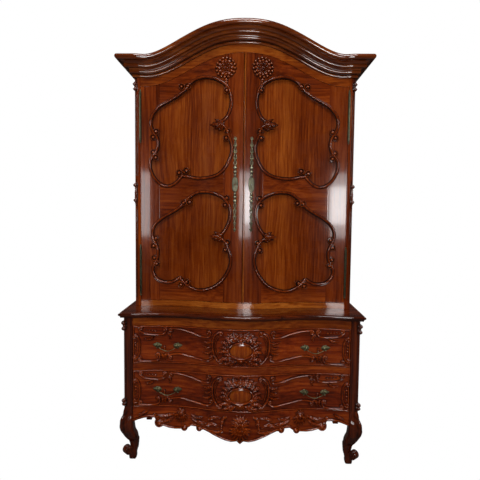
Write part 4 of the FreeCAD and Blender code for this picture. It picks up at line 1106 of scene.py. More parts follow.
@dataclass
class Joinery(Part):
    """The flat and curved boards that keep their construction shape, eased and polished.

    Args:
        ease: width of the eased edges.
        angle: angle from which an edge counts as one.
    """

    ease: float = 0.0012
    angle: float = math.radians(32.0)

    def soften(self, piece: bpy.types.Object) -> None:
        """Eases a board's edges and shades it smooth between them.

        Args:
            piece: the board.
        """
        piece.modifiers.new("weld", "WELD").merge_threshold = 2e-5
        bevel = piece.modifiers.new("eased_edges", "BEVEL")
        bevel.width = self.ease
        bevel.segments = 2
        bevel.limit_method = "ANGLE"
        bevel.angle_limit = self.angle
        bevel.use_clamp_overlap = True
        bevel.harden_normals = False
        piece.modifiers.new("even_shading", "WEIGHTED_NORMAL").keep_sharp = True
        piece.data.shade_smooth()
        piece.data.set_sharp_from_angle(angle=self.angle)

    def finish_of(self, name: str) -> Finish:
        """The finish of a board by its name, which is the side's wood where no word fits."""
        fitting = (finish for words, finish in BOARDS if any(word in name for word in words.split("|")))
        return next(fitting, SIDE_WOOD)

    def build(self) -> None:
        """Dresses every node of the frame."""
        for name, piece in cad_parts.items():
            finish = self.finish_of(name)
            piece.data.materials.clear()
            piece.data.materials.append(self.finishes.make(finish))
            self.soften(piece)
            log.info("%s: %s, %s", name, finish.name, finish.slot.value)


# Cornice and board.


def rounded_run(start: Pair, runs: Sequence[Sequence[float]], per: int = 9) -> tuple[Array, Array]:
    """One line from a start through runs, each drawn straight or as an arc.

    Args:
        start: where it begins.
        runs: the end of each straight run, and the middle and end of each arc.
        per: samples of an arc.

    Returns:
        Rows of two numbers, and how far each stands from its arc's ends, from 0 to 1, with
        0 along straight runs.
    """
    line, mark = [np.array([start], float)], [np.zeros(1)]
    for run in runs:
        points = np.vstack([line[-1][-1:], pairs(run)])
        if len(points) == 2:
            line.append(points[1:])
            mark.append(np.zeros(1))
            continue
        first, middle, last = points
        matrix = 2 * np.stack([middle - first, last - first])
        centre = np.linalg.solve(matrix, [middle @ middle - first @ first, last @ last - first @ first])
        arms = points - centre
        angles = np.arctan2(arms[:, 1], arms[:, 0])
        turn = (angles[2] - angles[0]) % math.tau
        if (angles[1] - angles[0]) % math.tau > turn:
            turn -= math.tau
        share = np.linspace(0, 1, per)[1:]
        sweep = angles[0] + turn * share
        line.append(centre + np.linalg.norm(arms[0]) * rows(np.cos(sweep), np.sin(sweep)))
        mark.append(np.sin(math.pi * share))
    return np.vstack(line), np.concatenate(mark)


# the cornice's outline in thousandths of its reach outwards and upwards, as runs
CORNICE_RUNS = (
    (35, 0), (105, 75, 35, 150), (140, 150), (140, 190), (250, 260, 225, 340),
    (265, 400, 375, 425), (420, 430), (545, 510, 500, 600), (600, 700, 815, 738), (1000, 870, 835, 1000),
)


@dataclass
class Cornice(Part):
    """The swan-backed cornice: one moulding swept over the door line and back along the sides.

    Args:
        projection: reach outwards in metres.
        reach: height square to the line.
        back: how far it lies inside the front line.
        lift: level of its foot over the door line.
        flat: level of its foot along the sides.
        side: X of the cupboard's side.
        ear: X where the swept front ends.
        corner: Y of the cupboard's front corner.
        bend: Y from which its returns run straight.
        rear: Y of its back.
    """

    projection: float = 0.0860
    reach: float = 0.1067
    back: float = -0.0160
    lift: float = 0.0453
    flat: float = 2.1353
    side: float = 0.6213
    ear: float = 0.6056
    corner: float = -0.06425
    bend: float = -0.0200
    rear: float = 0.3025

    def build(self) -> None:
        """Sweeps the front, turns the mitres and runs the returns, as one closed mesh.

        Each point of the outline moves outwards along Y and up along the line's normal, so
        its X gives way by up times the sine of the slope.
        """
        line, mark = rounded_run((0.0, 0.0), CORNICE_RUNS)
        face = line * np.array([self.projection, self.reach])
        out, up = np.vstack([face, [[self.back, self.reach], [self.back, 0.0]]]).T
        # painted shade: tones fall to 0.10 where the outline's arcs meet, darkening the creases between its
        # members
        tone = np.concatenate([0.10 + 0.56 * mark**0.6, [0.5, 0.2]])
        x = np.linspace(-self.ear, self.ear, 121)[:, None]
        slope = ARCH.slope(x)
        level = ARCH.level(x) + self.lift + up * np.cos(slope)
        swept = rows(x - up * np.sin(slope), UPPER.deep(x) - out, level)
        depths = (self.corner - out, self.bend, self.rear)
        left, right = (
            [rows(sign * (self.side + out), y, self.flat + up) for y in depths] for sign in (-1, 1)
        )
        stock = Stock()
        stock.grid(np.concatenate([left[::-1], swept, right]), tone)
        self.piece("cornice", stock, CORNICE_WOOD, replaced=("cornice_front", "cornice_returns"), sharp=34)


@dataclass
class CommodeBoard(Part):
    """The moulded board over the drawers, with a rounded nose and a small hollow under it.

    Args:
        foot: level of its underside.
        half: half its width.
        out: how far its nose stands before the drawers' front.
        rear: Y of its back.
    """

    foot: float = 0.8100
    half: float = 0.6640
    out: float = 0.0308
    rear: float = 0.3025

    def outline(self, inset: float, up: float) -> Array:
        """The board's plan, as a closed loop seen from above.

        Args:
            inset: metres by which the front and the ends are drawn in.
            up: height of the loop over the board's foot.

        Returns:
            Rows of three numbers.
        """
        reach = self.half - inset
        x = np.linspace(-reach, reach, 141)
        front = rows(x, LOWER.deep(x, self.out - inset))
        loop = np.vstack([front, [[reach, self.rear], [-reach, self.rear]]])
        return rows(*loop.T, self.foot + up)

    def build(self) -> None:
        """Stacks inset outlines up the edge's profile: fillet, hollow and round nose."""
        angle = np.linspace(-1.30, 1.45, 13)
        nose = rows(0.0098 * (1 - np.cos(angle)), 0.0175 + 0.0083 * np.sin(angle))
        fillet = pairs((120, 0, 100, 0, 100, 32, 88, 58), TENTHS)
        profile = np.vstack([fillet, nose, [[0.030, 0.026]]])
        # painted shade: the fillet and the hollow under the nose get low tones, so they are painted dark
        tone = np.array([0.15] * 3 + [0.25] + [PLAIN_TONE] * (len(nose) + 1))
        stock = Stock()
        stock.grid(np.stack([self.outline(inset, up) for inset, up in profile]), tone[:, None])
        self.piece("moulded_board", stock, BOARD_WOOD, replaced=("commode_board",), sharp=42)


# Doors. The mouldings round a field are runs of points, in thousandths of the door's width
# and height. Each run starts at the end of the one before it, and the first at the last's end.
UPPER_FIELD = (
    (165, 872, 215, 889, 300, 906, 385, 912, 455, 907, 515, 893, 560, 870),
    (605, 854, 670, 836, 757, 815, 820, 799, 872, 775, 906, 744, 904, 716, 875, 688),
    (843, 666, 838, 648, 845, 628, 875, 604),
    (910, 580, 914, 551, 893, 522, 838, 490, 762, 474, 685, 482, 602, 517),
    (548, 514, 460, 507, 360, 508, 262, 518, 190, 540, 138, 576, 110, 612, 115, 645, 150, 682),
    (172, 706, 215, 719, 300, 722),
    (215, 731, 165, 748, 131, 778, 118, 815, 137, 857),
)
LOWER_FIELD = (
    (175, 421, 262, 443, 362, 452, 463, 447, 555, 420),
    (620, 390, 708, 366, 798, 343, 858, 321, 893, 291, 892, 264, 862, 236),
    (843, 213, 841, 196, 846, 178, 868, 154),
    (890, 136, 883, 112, 848, 89, 782, 76, 690, 78, 622, 96),
    (570, 72, 500, 52, 420, 45, 335, 52, 250, 70, 185, 97, 138, 130, 114, 162, 118, 194, 150, 230),
    (172, 251, 215, 262, 300, 266),
    (215, 277, 165, 301, 128, 340, 120, 372, 137, 400),
)
# scroll ends of the right door in tenths of a millimetre: the middle of the ball, and the
# point that its arm leaves, first where the arm winds left about, then where it winds right
LEFT_KNOTS = (
    (952, 20563, 800, 20650), (5156, 17202, 5000, 17260), (5016, 16900, 5220, 16880),
    (3262, 16194, 3400, 16040), (891, 18320, 1080, 18280), (913, 14627, 1100, 14560),
    (5104, 11171, 4930, 11200), (4978, 10820, 5170, 10800), (3564, 9620, 3640, 9790),
    (850, 12118, 1050, 12080),
)
RIGHT_KNOTS = (
    (3199, 20906, 3300, 21080), (3552, 20890, 3440, 20740), (4997, 18378, 5180, 18400),
    (5163, 18057, 4980, 18060), (3687, 16060, 3580, 15870), (976, 17955, 800, 17900),
    (1008, 14236, 820, 14230), (3080, 14389, 3220, 14540), (3425, 14360, 3330, 14200),
    (5012, 12293, 5190, 12260), (5140, 11860, 4960, 11820), (3236, 9790, 3300, 9560),
    (973, 11712, 800, 11680),
)


@dataclass
class DoorCarving(Part):
    """The scrolled mouldings round a door's two fields, with their eyes, leaves and rosette.

    Args:
        side: which door.
        edge: half span of the doors at the hinge side.
        foot: level of the doors' foot.
        span: height of the doors at the crest.
        width: width of the mouldings.
        height: height of the mouldings.
    """

    side: Side
    edge: float = 0.5845
    foot: float = 0.8700
    span: float = 1.3900
    width: float = 0.0125
    height: float = 0.0085

    def build(self) -> None:
        """Carves both fields, the knots at their scroll ends, the cusp leaves and the rosette."""
        # a wider painted shadow on each moulding's right, and crests only a little lightened as painted
        # highlight
        carver = Carver(UPPER, trough=0.0030, worn=0.72)
        for runs in (UPPER_FIELD, LOWER_FIELD):
            for before, run in zip((runs[-1], *runs), runs):
                shares = pairs((*before[-2:], *run))
                points = shares * np.array([self.edge, self.span]) + np.array([0.0, self.foot])
                carver.strip(spline(points, 60), self.width, self.height)
        for turn, knots in ((1, LEFT_KNOTS), (-1, RIGHT_KNOTS)):
            for knot in knots:
                centre, start = pairs(knot, TENTHS)
                carver.knot(centre, start, turn, ball=0.0094, width=0.0058, height=0.0095)
        for leaf in ((116, 1868, 192, 1871), (122, 1243, 189, 1246)):
            self.cusp(carver, *pairs(leaf))
        self.shell(carver, (0.1030, 2.1800))
        door = f"{self.side.word}_door"
        stock, replaced = carver.stock.on(self.side), (f"{door}_mouldings",)
        self.piece(f"{door}_carving", stock, DOOR_RELIEF, door, replaced)

    def cusp(self, carver: Carver, root: Array, tip: Array) -> None:
        """The pointed leaf spray at a field's cusp.

        Args:
            carver: where it is carved.
            root: its root on the stile.
            tip: its tip.
        """
        way = tip - root
        side = np.array([-way[1], way[0]])
        carver.leaf([root, root + way * 0.5 + side * 0.03, tip], 0.030, 0.012, lobes=3)
        for sign, far, wide in ((1, 0.42, 0.85), (-1, 0.42, 0.55), (1, 0.10, 0.62), (-1, 0.10, 0.80)):
            end = root + way * (far + 0.25) + side * sign * wide * 0.52
            mid = root + way * (far * 0.7) + side * sign * wide * 0.28
            carver.leaf([root, mid, end], 0.017, 0.010, lobes=3, count=30)
        carver.beads([root + way * 0.10, root + way * 0.55], 0.0050, 0.0032, 0.0150, 4)

    def shell(self, carver: Carver, heart: Pair) -> None:
        """The rosette: radiating petals in a ring of beads, with a bead tail under it.

        Args:
            carver: where it is carved.
            heart: its middle.
        """
        carver.rosette(heart, 0.050, 0.010, petals=12)
        # the shine column paints a pale highlight on the outer ring beads' crowns
        for first, count, ring, size, height, sides, shine in (
            (0.1, 16, 0.052, 0.0078, 0.0115, 12, 0.20),
            (0.0, 8, 0.026, 0.0052, 0.0135, 10, 0.0),
        ):
            for angle in full_turn(count) + first:
                spot = (heart[0] + ring * math.cos(angle), heart[1] + ring * math.sin(angle))
                carver.dome(spot, size, height, sides, shine)
        tail = np.array(heart) - pairs((2, 66, 6, 104))
        carver.beads(tail, 0.0100, 0.0070, 0.0115, 4)


# Drawers. The right half of a front, in millimetres from its middle.

# scrolls: the way to curl at the start and at the end, the width, and the line
DRAWER_SCROLLS = (
    (-1, -1, 11.0, (116, 87, 140, 68, 153, 12, 142, -45, 118, -78)),
    (0, 0, 6.0, (118, 60, 136, 30, 137, -10, 124, -50)),
    (1, -1, 10.0, (164, 78, 170, 60, 200, 53, 251, 66, 317, 84, 383, 90)),
    (1, 1, 9.5, (410, 78, 422, 60, 452, 53, 504, 56, 540, 66, 556, 82)),
    (1, 1, 9.5, (569, 50, 557, 22, 554.5, -18, 558, -50, 569, -74)),
    (1, -1, 8.5, (154, -60, 176, -74, 222, -71, 278, -60, 340, -50, 390, -58)),
    (1, 1, 9.5, (447, -60, 452, -83, 480, -92, 552, -91)),
)
# leaves: stem, middle, tip, width
DRAWER_LEAVES = (
    (52, -50, 78, -34, 100, -40, 22), (54, -60, 86, -58, 114, -66, 24), (46, -66, 70, -82, 102, -88, 22),
    (38, -64, 44, -82, 64, -94, 20), (64, -24, 94, -20, 122, -34, 20), (68, -8, 94, 4, 116, -2, 18),
    (66, 8, 86, 28, 110, 36, 20), (56, 22, 68, 48, 90, 64, 24), (36, 34, 52, 64, 74, 84, 24),
    (18, 40, 30, 70, 44, 92, 22), (156, 30, 186, 24, 214, 34, 14), (158, 6, 184, -4, 206, 6, 13),
    (156, -20, 184, -34, 210, -30, 14), (404, 66, 388, 48, 396, 30, 14), (404, -50, 416, -66, 412, -90, 16),
    (404, -50, 388, -70, 376, -86, 14), (436, -50, 430, -72, 440, -88, 14), (474, 48, 500, 30, 532, 36, 12),
)
# rows of beads: the line, and the radius of the first
DRAWER_BEADS = ((576, 14, 576, -36, 6.2), (420, -12, 420, -40, 5.0), (470, 76, 520, 80, 5.0))
# balls round the cartouche: place, radii across and up, height; those off the middle come in pairs
DRAWER_BALLS = (
    (20, 66, 9.0, 9.0, 16.5), (36, 44, 7.0, 7.0, 14.0), (30, -70, 6.5, 6.5, 13.0),
    (0, -66, 10.0, 8.5, 15.0), (0, 42, 9.0, 11.0, 15.0),
)


@dataclass
class DrawerCarving(Part):
    """The carving of one drawer front: cartouche, brackets, trailing scrolls and corner leaves.

    Args:
        name: the drawer's body.
        level: height of the front's middle.
        tall: height of the front.
        half: half its width.
        wide: half the cartouche's width.
        high: half the cartouche's height.
        drawn: height of the front that the tables are drawn for.
        inset: distance of the edge beads from the ends.
        reach: level of the upper and lower bead over the middle, as a share of the height.
    """

    name: str
    level: float
    tall: float
    half: float = 0.5905
    wide: float = 0.064
    high: float = 0.044
    drawn: float = 0.206
    inset: float = 0.004
    reach: float = 0.484

    def place(self, numbers: Sequence[float]) -> Array:
        """Points from the front's middle as x and level, drawn in a little on a lower front."""
        x, z = pairs(numbers).T
        return rows(x, self.level + z * self.tall / self.drawn)

    def side(self, carver: Carver) -> None:
        """Carves the right half of what comes in pairs.

        Args:
            carver: where it is carved.
        """
        for start, end, width, line in DRAWER_SCROLLS:
            width /= THOUSANDTHS
            carver.scroll(self.place(line), width, width * 1.25, (start, end), 0.0115, count=60, taper=0.60)
        for *line, width in DRAWER_LEAVES:
            carver.leaf(self.place(line), width / THOUSANDTHS * 1.3, 0.0135, lobes=3, count=36)
        for *line, size in DRAWER_BEADS:
            size /= THOUSANDTHS
            carver.beads(self.place(line), size, size * 0.6, 0.011, 4)

    def cartouche(self, carver: Carver) -> None:
        """The oval rim with its palmettes and balls, and the smooth boss within as its own piece.

        Args:
            carver: where all but the boss is carved.
        """
        heart = self.place((0, -13))[0]
        angles = np.linspace(0, math.tau, 73)
        bulge = 1 + 0.08 * np.cos(2 * angles)
        loop = rows(self.wide * bulge * np.cos(angles), heart[1] + self.high * np.sin(angles))
        carver.strip(loop, 0.0100, 0.0100)
        carver.fan((0.0, heart[1] + self.high * 0.95), 0.066, 0.0125, 5, (48, 132), inner=0.10)
        carver.fan((0.0, heart[1] - self.high * 0.98), 0.040, 0.0120, 7, (200, 340), inner=0.12)
        for x, z, *sizes in DRAWER_BALLS:
            across, up, height = np.divide(sizes, THOUSANDTHS)
            for spot in self.place([x, z, -x, z])[: 2 if x else 1]:
                carver.dome(spot, (across, up), height)
        shares = np.linspace(0.04, 1, 9)
        heights = 0.0060 * np.sqrt(1 - 0.97 * shares**2)[:, None] * np.ones(48)
        boss = Carver(LOWER)
        boss.polar(heart, (self.wide * 0.86, self.high * 0.84), heights, shares)
        boss.stock.tones = [0.68 * (tone > 0.02) for tone in boss.stock.tones]
        self.piece(f"{self.name}_boss", boss.stock, BOSS_WOOD, self.name)

    def edge_beads(self) -> None:
        """A fine bead round the front's edges, as a piece of its own."""
        carver = Carver(LOWER)
        across, up = self.half - self.inset, self.tall * self.reach
        for sign in (1, -1):
            line = rows(np.linspace(-across, across, 150), self.level + sign * up)
            carver.strip(line, 0.0060, 0.0042, columns=7)
        for sign in (-1, 1):
            line = rows(sign * across, np.linspace(self.level - up, self.level + up, 24))
            carver.strip(line, 0.0055, 0.0040, columns=7)
        self.piece(f"{self.name}_edge_bead", carver.stock, BEAD_WOOD, self.name)

    def build(self) -> None:
        """Carves the middle, then one side and its mirror image."""
        # painted shadow rims and lightened crests as painted highlight, set apart for the middle and the
        # sides
        middle, pair = Carver(LOWER, flange=0.0026, worn=0.85), Carver(LOWER, flange=0.0028, worn=0.80)
        self.cartouche(middle)
        self.side(pair)
        middle.stock.add(pair.stock, pair.stock.mirrored())
        self.piece(f"{self.name}_carving", middle.stock, RELIEF, self.name, (f"{self.name}_carvings",))
        self.edge_beads()


@dataclass
class Pull(Part):
    """A cast pull: two leaf plates with knobs, and a bail that hangs between them.

    Args:
        drawer: the drawer's body.
        side: which end of the drawer.
        level: height of the pivots.
        place: X of the pull's middle.
        spread: half the distance between the pivots.
        pivot: Y of the pivots.
        drop: how far the bow hangs below them.
        shine: tone of the bow and the knobs.
    """

    drawer: str
    side: Side
    level: float
    place: float = 0.4040
    spread: float = 0.0485
    pivot: float = -0.22566
    drop: float = 0.0285
    shine: float = 0.75

    def tube(self, path: Array, radius: Array, sides: int = 12) -> Array:
        """Rings of a round rod along a path in space.

        Each ring stands square to the path, on two directions carried along it.

        Args:
            path: rows of three numbers.
            radius: one number a row.
            sides: corners of a ring.

        Returns:
            A grid of points, one row a ring.
        """
        tangent = np.gradient(path, axis=0)
        tangent /= np.linalg.norm(tangent, axis=1, keepdims=True)
        first = np.cross(tangent, np.array([0.0, 1.0, 0.0]))
        short = np.linalg.norm(first, axis=1, keepdims=True)
        first = np.where(short > 1e-3, first / np.maximum(short, 1e-9), np.array([[0.0, 0.0, 1.0]]))
        second = np.cross(tangent, first)
        angle = full_turn(sides)[None, :, None]
        ring = np.cos(angle) * first[:, None, :] + np.sin(angle) * second[:, None, :]
        return path[:, None, :] + radius[:, None, None] * ring

    def plate(self, centre: float, outward: int) -> Stock:
        """A cast leaf plate with a pointed outer end, and the knob that holds the bail.

        Args:
            centre: X of the knob.
            outward: sign of the way that the point shows.

        Returns:
            The plate and the knob.
        """
        carver = Carver(LOWER, sink=LIP, flange=LIP)
        knob, away = np.array([centre, self.level]), np.array([outward, 1.0])
        midrib = knob + pairs((-16, -1, 8, 1, 33, 4)) * away
        carver.leaf(midrib, 0.030, 0.0040, count=40)
        for sign in (-1, 1):
            points = knob + pairs((0, 0, 4, sign * 9, 14, sign * 17)) * away
            carver.leaf(points, 0.012, 0.0035, lobes=2, count=22)
        carver.dome(knob, 0.0085, 0.0075)
        # Y and radius of the knob's rings, from the front's face towards the viewer
        y = self.pivot - np.array([0.0, -0.004, 0.003, 0.0065, 0.0078])[:, None]
        y[0] = LOWER.deep(centre) + 0.001
        radius = np.array([0.0052, 0.0040, 0.0062, 0.0050, 0.0014])[:, None]
        angle = full_turn(14)
        turned = rows(centre + radius * np.cos(angle), y, self.level + radius * np.sin(angle))
        carver.stock.grid(turned, self.shine)
        return carver.stock

    def bail(self) -> Stock:
        """The bail: a bow with a bead at its middle, a smaller one to either side and thicker ends.

        Its radius is a thin rod's, with a bell over the angle added for each bead.

        Returns:
            The bow.
        """
        angle = np.linspace(0, math.pi, 49)
        cosine, sine = np.cos(angle), np.sin(angle)
        x = self.place + self.spread * cosine * (1 - 0.44 * sine**2)
        path = rows(x, self.pivot, self.level - self.drop * sine**0.95)
        ends = bell(np.abs(cosine), 1, 0.01)
        middle = bell(angle, math.pi / 2, 0.10)
        pair = bell(np.abs(angle - math.pi / 2), 0.32, 0.05)
        radius = 0.0019 + 0.0007 * middle + 0.0005 * pair + 0.0006 * ends
        stock = Stock()
        stock.grid(self.tube(path, radius), self.shine)
        return stock

    def build(self) -> None:
        """Casts the plates on the drawer and the bail on its own body."""
        drawer, word = self.drawer, self.side.word
        plates = self.plate(self.place - self.spread, -1)
        plates.add(self.plate(self.place + self.spread, 1))
        plates = plates.on(self.side)
        self.piece(f"{drawer}_plates_{word}", plates, PULL_CAST, drawer, (f"{drawer}_pull_posts",))
        bail, body = self.bail().on(self.side), f"{drawer}_bail_{word}_body"
        self.piece(f"{drawer}_bow_{word}", bail, PULL_CAST, body, (f"{drawer}_bail_{word}",), sharp=60)


@dataclass
class Drawers(Part):
    """Both drawers' carving and pulls."""

    def build(self) -> None:
        """Carves each drawer and hangs its two pulls."""
        sizes = (("upper_drawer", 0.657, 0.206, 0.651), ("lower_drawer", 0.410, 0.204, 0.404))
        for name, level, tall, pivot in sizes:
            DrawerCarving(self.finishes, name, level, tall).build()
            for side in Side:
                Pull(self.finishes, name, side, pivot).build()


# Chest: legs, apron and posts.

# a leg's limb in hundredths: share of its height, outward push and half width
LIMB = (
    (9, -66, 40), (15, -82, 41), (22, -98, 43), (30, -94, 49), (37, -72, 56), (44, -40, 64),
    (52, 0, 68), (60, 32, 71), (70, 45, 72), (80, 30, 65), (90, 8, 54), (100, 0, 50),
)


@dataclass
class CabrioleLeg(Part):
    """A front leg: square post above, an S-curved limb with carved knee, whorl and pad foot.

    Args:
        side: which leg.
        x: middle of the post.
        y: middle of the post.
        top: level where the limb starts.
        push: greatest outward bend, in metres.
        thick: width of the post.
        head: level of the post's top.
        run: distance of its grooved faces from its corners.
        groove: depth of the sunk lines.
        foot: height of the pad.
        slim: half its least width.
        flare: how much wider it is at its middle height.
        roll: radius of the whorl.
        drum: half its length.
        forward: how far its middle stands outwards of the post's.
        height: level of its middle.
    """

    side: Side
    x: float = 0.6165
    y: float = -0.20635
    top: float = 0.3060
    push: float = 0.0220
    thick: float = 0.0490
    head: float = 0.8100
    run: float = 0.0040
    groove: float = 0.0022
    foot: float = 0.0340
    slim: float = 0.0172
    flare: float = 0.0034
    roll: float = 0.0240
    drum: float = 0.0185
    forward: float = 0.0090
    height: float = 0.0570

    def square(self, sides: int) -> tuple[Array, Array]:
        """A rounded square of unit half width: a super-ellipse of the fifth power.

        Args:
            sides: how many points to give.

        Returns:
            How far across and how far back each point lies.
        """
        angle = full_turn(sides)
        scale = (np.abs(np.cos(angle)) ** 5 + np.abs(np.sin(angle)) ** 5) ** (-1 / 5)
        return np.cos(angle) * scale, np.sin(angle) * scale

    def limb(self, stock: Stock) -> None:
        """The limb, whose section stays a rounded square, with a leaf raised on its knee.

        Push and half width are cubic through the table. The leaf is a wave over the section's
        angle round the outer corner, fading out below the knee, cut by slanting veins.

        Args:
            stock: what it is added to.
        """
        share = np.linspace(0.085, 1.0, 80)[:, None]
        table = np.array(LIMB) / 100
        bend, wide = spline(table[:, :2], 200), spline(table[:, ::2], 200)
        push = np.interp(share, bend[:, 0], bend[:, 1]) * self.push
        half = np.interp(share, wide[:, 0], wide[:, 1]) * self.thick
        across, deep = self.square(48)
        corner = (np.arctan2(deep, across) + math.pi / 4 + math.pi) % math.tau - math.pi
        fade = np.clip((share - 0.36) / 0.16, 0, 1) * np.clip((1.01 - share) / 0.10, 0, 1)
        vein = np.cos(corner * 7.0) * 0.5 + 0.5
        slant = np.cos(math.tau * (share * 6.5 - np.abs(corner) * 0.9)) * 0.5 + 0.5
        cover = fade * np.exp(-((corner / 1.05) ** 4))
        grow = half + cover * (0.0032 * vein + 0.0022 * slant)
        points = rows(self.x + push + across * grow, self.y - push + deep * grow, share * self.top)
        # painted shade: tone drops between the leaf's veins, darkening its grooves
        stock.grid(points, PLAIN_TONE - 0.5 * cover * (1 - (vein + slant) / 2))

    def post(self, stock: Stock) -> None:
        """The square post over the limb, with eased corners and two sunk lines on two faces.

        Args:
            stock: what it is added to.
        """
        half = self.thick / 2
        side = np.linspace(-half + self.run, half - self.run, 19)
        sunk = bell(np.abs(side), half * 0.52, 0.0024)
        face, back = half - self.groove * sunk, side[::-1]
        loop = np.vstack([rows(side, -face), rows(face, side), rows(back, half), rows(-half, back)])
        low = self.top - 0.0005
        levels = np.array([low, low + 0.010, self.head - 0.010, self.head])[:, None]
        # painted shade: the sunk lines get low tones, so they are painted dark
        tone = PLAIN_TONE - 0.55 * np.concatenate([sunk, sunk, sunk * 0, sunk * 0])
        stock.grid(rows(self.x + loop[:, 0], self.y + loop[:, 1], levels), tone)

    def whorl(self, stock: Stock) -> None:
        """The spiral roll over the foot: a drum whose ends carry a spiral ridge.

        On either end the rise is a wave in the difference between the radius and the angle,
        which gives an even spiral.

        Args:
            stock: what it is added to.
        """
        centre = np.array([self.x + self.forward, self.y - self.forward, self.height])
        way, out = np.array([[1.0, 1.0, 0.0], [1.0, -1.0, 0.0]]) / math.sqrt(2)
        up = np.array([0.0, 0.0, 1.0])
        angles = full_turn(40)
        ring = np.concatenate([np.linspace(0.06, 0.96, 12), [1.0]])[:, None]
        spiral = np.cos(math.tau * (ring * 1.9) - angles) * 0.5 + 0.5
        swell = self.drum * (0.88 + 0.12 * np.sqrt(1 - 0.9 * ring**2)) + 0.0022 * spiral * (ring < 0.97)
        turned = np.cos(angles)[:, None] * out + np.sin(angles)[:, None] * up
        middle, end = centre + (self.roll * ring)[..., None] * turned, swell[..., None] * way
        # painted shade: tone drops between the spiral's ridges, darkening the grooves
        tone = np.concatenate([spiral, spiral[::-1]]) * 0.6 + 0.1
        stock.grid(np.concatenate([middle - end, (middle + end)[::-1]]), tone)

    def pad(self, stock: Stock) -> None:
        """The block under the whorl: a rounded square that swells between its top and its foot.

        Args:
            stock: what it is added to.
        """
        share = np.linspace(0, 1, 16)[:, None]
        half = self.slim + self.flare * np.sin(math.pi * share) ** 0.6
        across, deep = self.square(40)
        push = -0.66 * self.push
        points = rows(self.x + push + across * half, self.y - push + deep * half, share * self.foot)
        stock.grid(points, 0.58)

    def build(self) -> None:
        """Carves the leg as one mesh."""
        stock = Stock()
        for carve in (self.limb, self.post, self.whorl, self.pad):
            carve(stock)
        stock, word = stock.on(self.side), self.side.word
        self.piece(f"carved_leg_{word}", stock, LEG_WOOD, replaced=(f"front_leg_{word}",), sharp=50)


# the apron's lower edge in thousandths of its half width and of its drop
APRON_LINE = (
    1000, 460, 930, 385, 865, 350, 805, 365, 778, 560, 720, 640, 660, 700, 600, 715, 550, 700,
    505, 690, 472, 590, 430, 555, 402, 580, 390, 680, 342, 640, 275, 725, 200, 830, 125, 914,
    70, 937, 30, 910, 0, 1000,
)
# its leaves in the same measure: stem, middle, tip, and the width in metres
APRON_LEAVES = (
    (620, 220, 700, 300, 780, 260, 0.024), (620, 300, 690, 460, 760, 500, 0.022),
    (460, 200, 400, 280, 340, 220, 0.022), (460, 300, 380, 420, 310, 400, 0.026),
    (330, 500, 250, 420, 190, 500, 0.024), (300, 300, 240, 200, 170, 200, 0.022),
    (300, 620, 220, 660, 150, 600, 0.020), (860, 100, 900, 200, 960, 240, 0.020),
    (120, 140, 160, 260, 140, 420, 0.024),
)
# its whorls in metres: X, level and radius
APRON_WHORLS = ((0.4478, 0.2131, 0.0185), (0.3083, 0.1930, 0.0130), (0.2242, 0.1996, 0.0120))


@dataclass
class ApronCarving(Part):
    """The apron's carving: an edge bead, a shell at each side, sprays and a middle palmette.

    Args:
        half: half its width.
        drop: how far its lower edge hangs down.
        top: level of its top.
        inset: how far the edge bead lies above that edge, as a share of the drop.
        heart: level of the middle palmette's eye.
        shell: X and level of the middle of the right shell.
    """

    half: float = 0.5920
    drop: float = 0.1750
    top: float = 0.3060
    inset: float = 0.0550
    heart: float = 0.2250
    shell: Pair = (0.3280, 0.2550)

    def spots(self, shares: Array) -> Array:
        """Shares of the half width and of the drop as metres."""
        return rows(self.half * shares[:, 0], self.top - self.drop * shares[:, 1])

    def side(self, carver: Carver) -> None:
        """Carves the right half.

        Args:
            carver: where it is carved.
        """
        inner = self.spots(pairs(APRON_LINE) - np.array([0.0, self.inset]))
        for first, last, curls in ((0, 4, (0, -1)), (4, 10, (1, 0)), (10, 13, (0, 0)), (13, 21, (0, 0))):
            carver.scroll(inner[first:last], 0.0085, 0.0080, curls, 0.0080, count=46, taper=0.45)
        x, z = self.shell
        carver.fan((x, z + 0.018), 0.056, 0.014, 9, (195, 345), inner=0.12)
        carver.fan((x, z + 0.016), 0.038, 0.012, 7, (20, 160), inner=0.10)
        carver.dome((x, z + 0.020), 0.0100, 0.0160)
        for *line, width in APRON_LEAVES:
            carver.leaf(self.spots(pairs(line)), width, 0.011)
        carver.beads(self.spots(pairs((645, 400, 700, 620))), 0.0050, 0.0030, 0.009, 4)
        for x, z, size in APRON_WHORLS:
            carver.dome((x, z), size, 0.0130, sides=24)
            carver.knot((x, z), (x, z + size * 1.5), -1, ball=size * 0.5, width=size * 0.5, height=0.0140)

    def build(self) -> None:
        """Carves the middle, then one side and its mirror image."""
        middle, pair = Carver(LOWER), Carver(LOWER)
        level = self.heart
        middle.fan((0.0, level + 0.002), 0.082, 0.016, 11, (188, 352), inner=0.16)
        middle.fan((0.0, level + 0.004), 0.070, 0.015, 9, (12, 168), inner=0.16)
        middle.rosette((0.0, level), 0.024, 0.018, petals=8)
        for sign in (-1, 1):
            line = [(sign * 0.098, level + 0.030), (sign * 0.104, level - 0.034)]
            middle.beads(line, 0.0070, 0.0045, 0.012, 6)
        self.side(pair)
        middle.stock.add(pair.stock, pair.stock.mirrored())
        self.piece("apron_carving", middle.stock, RELIEF)


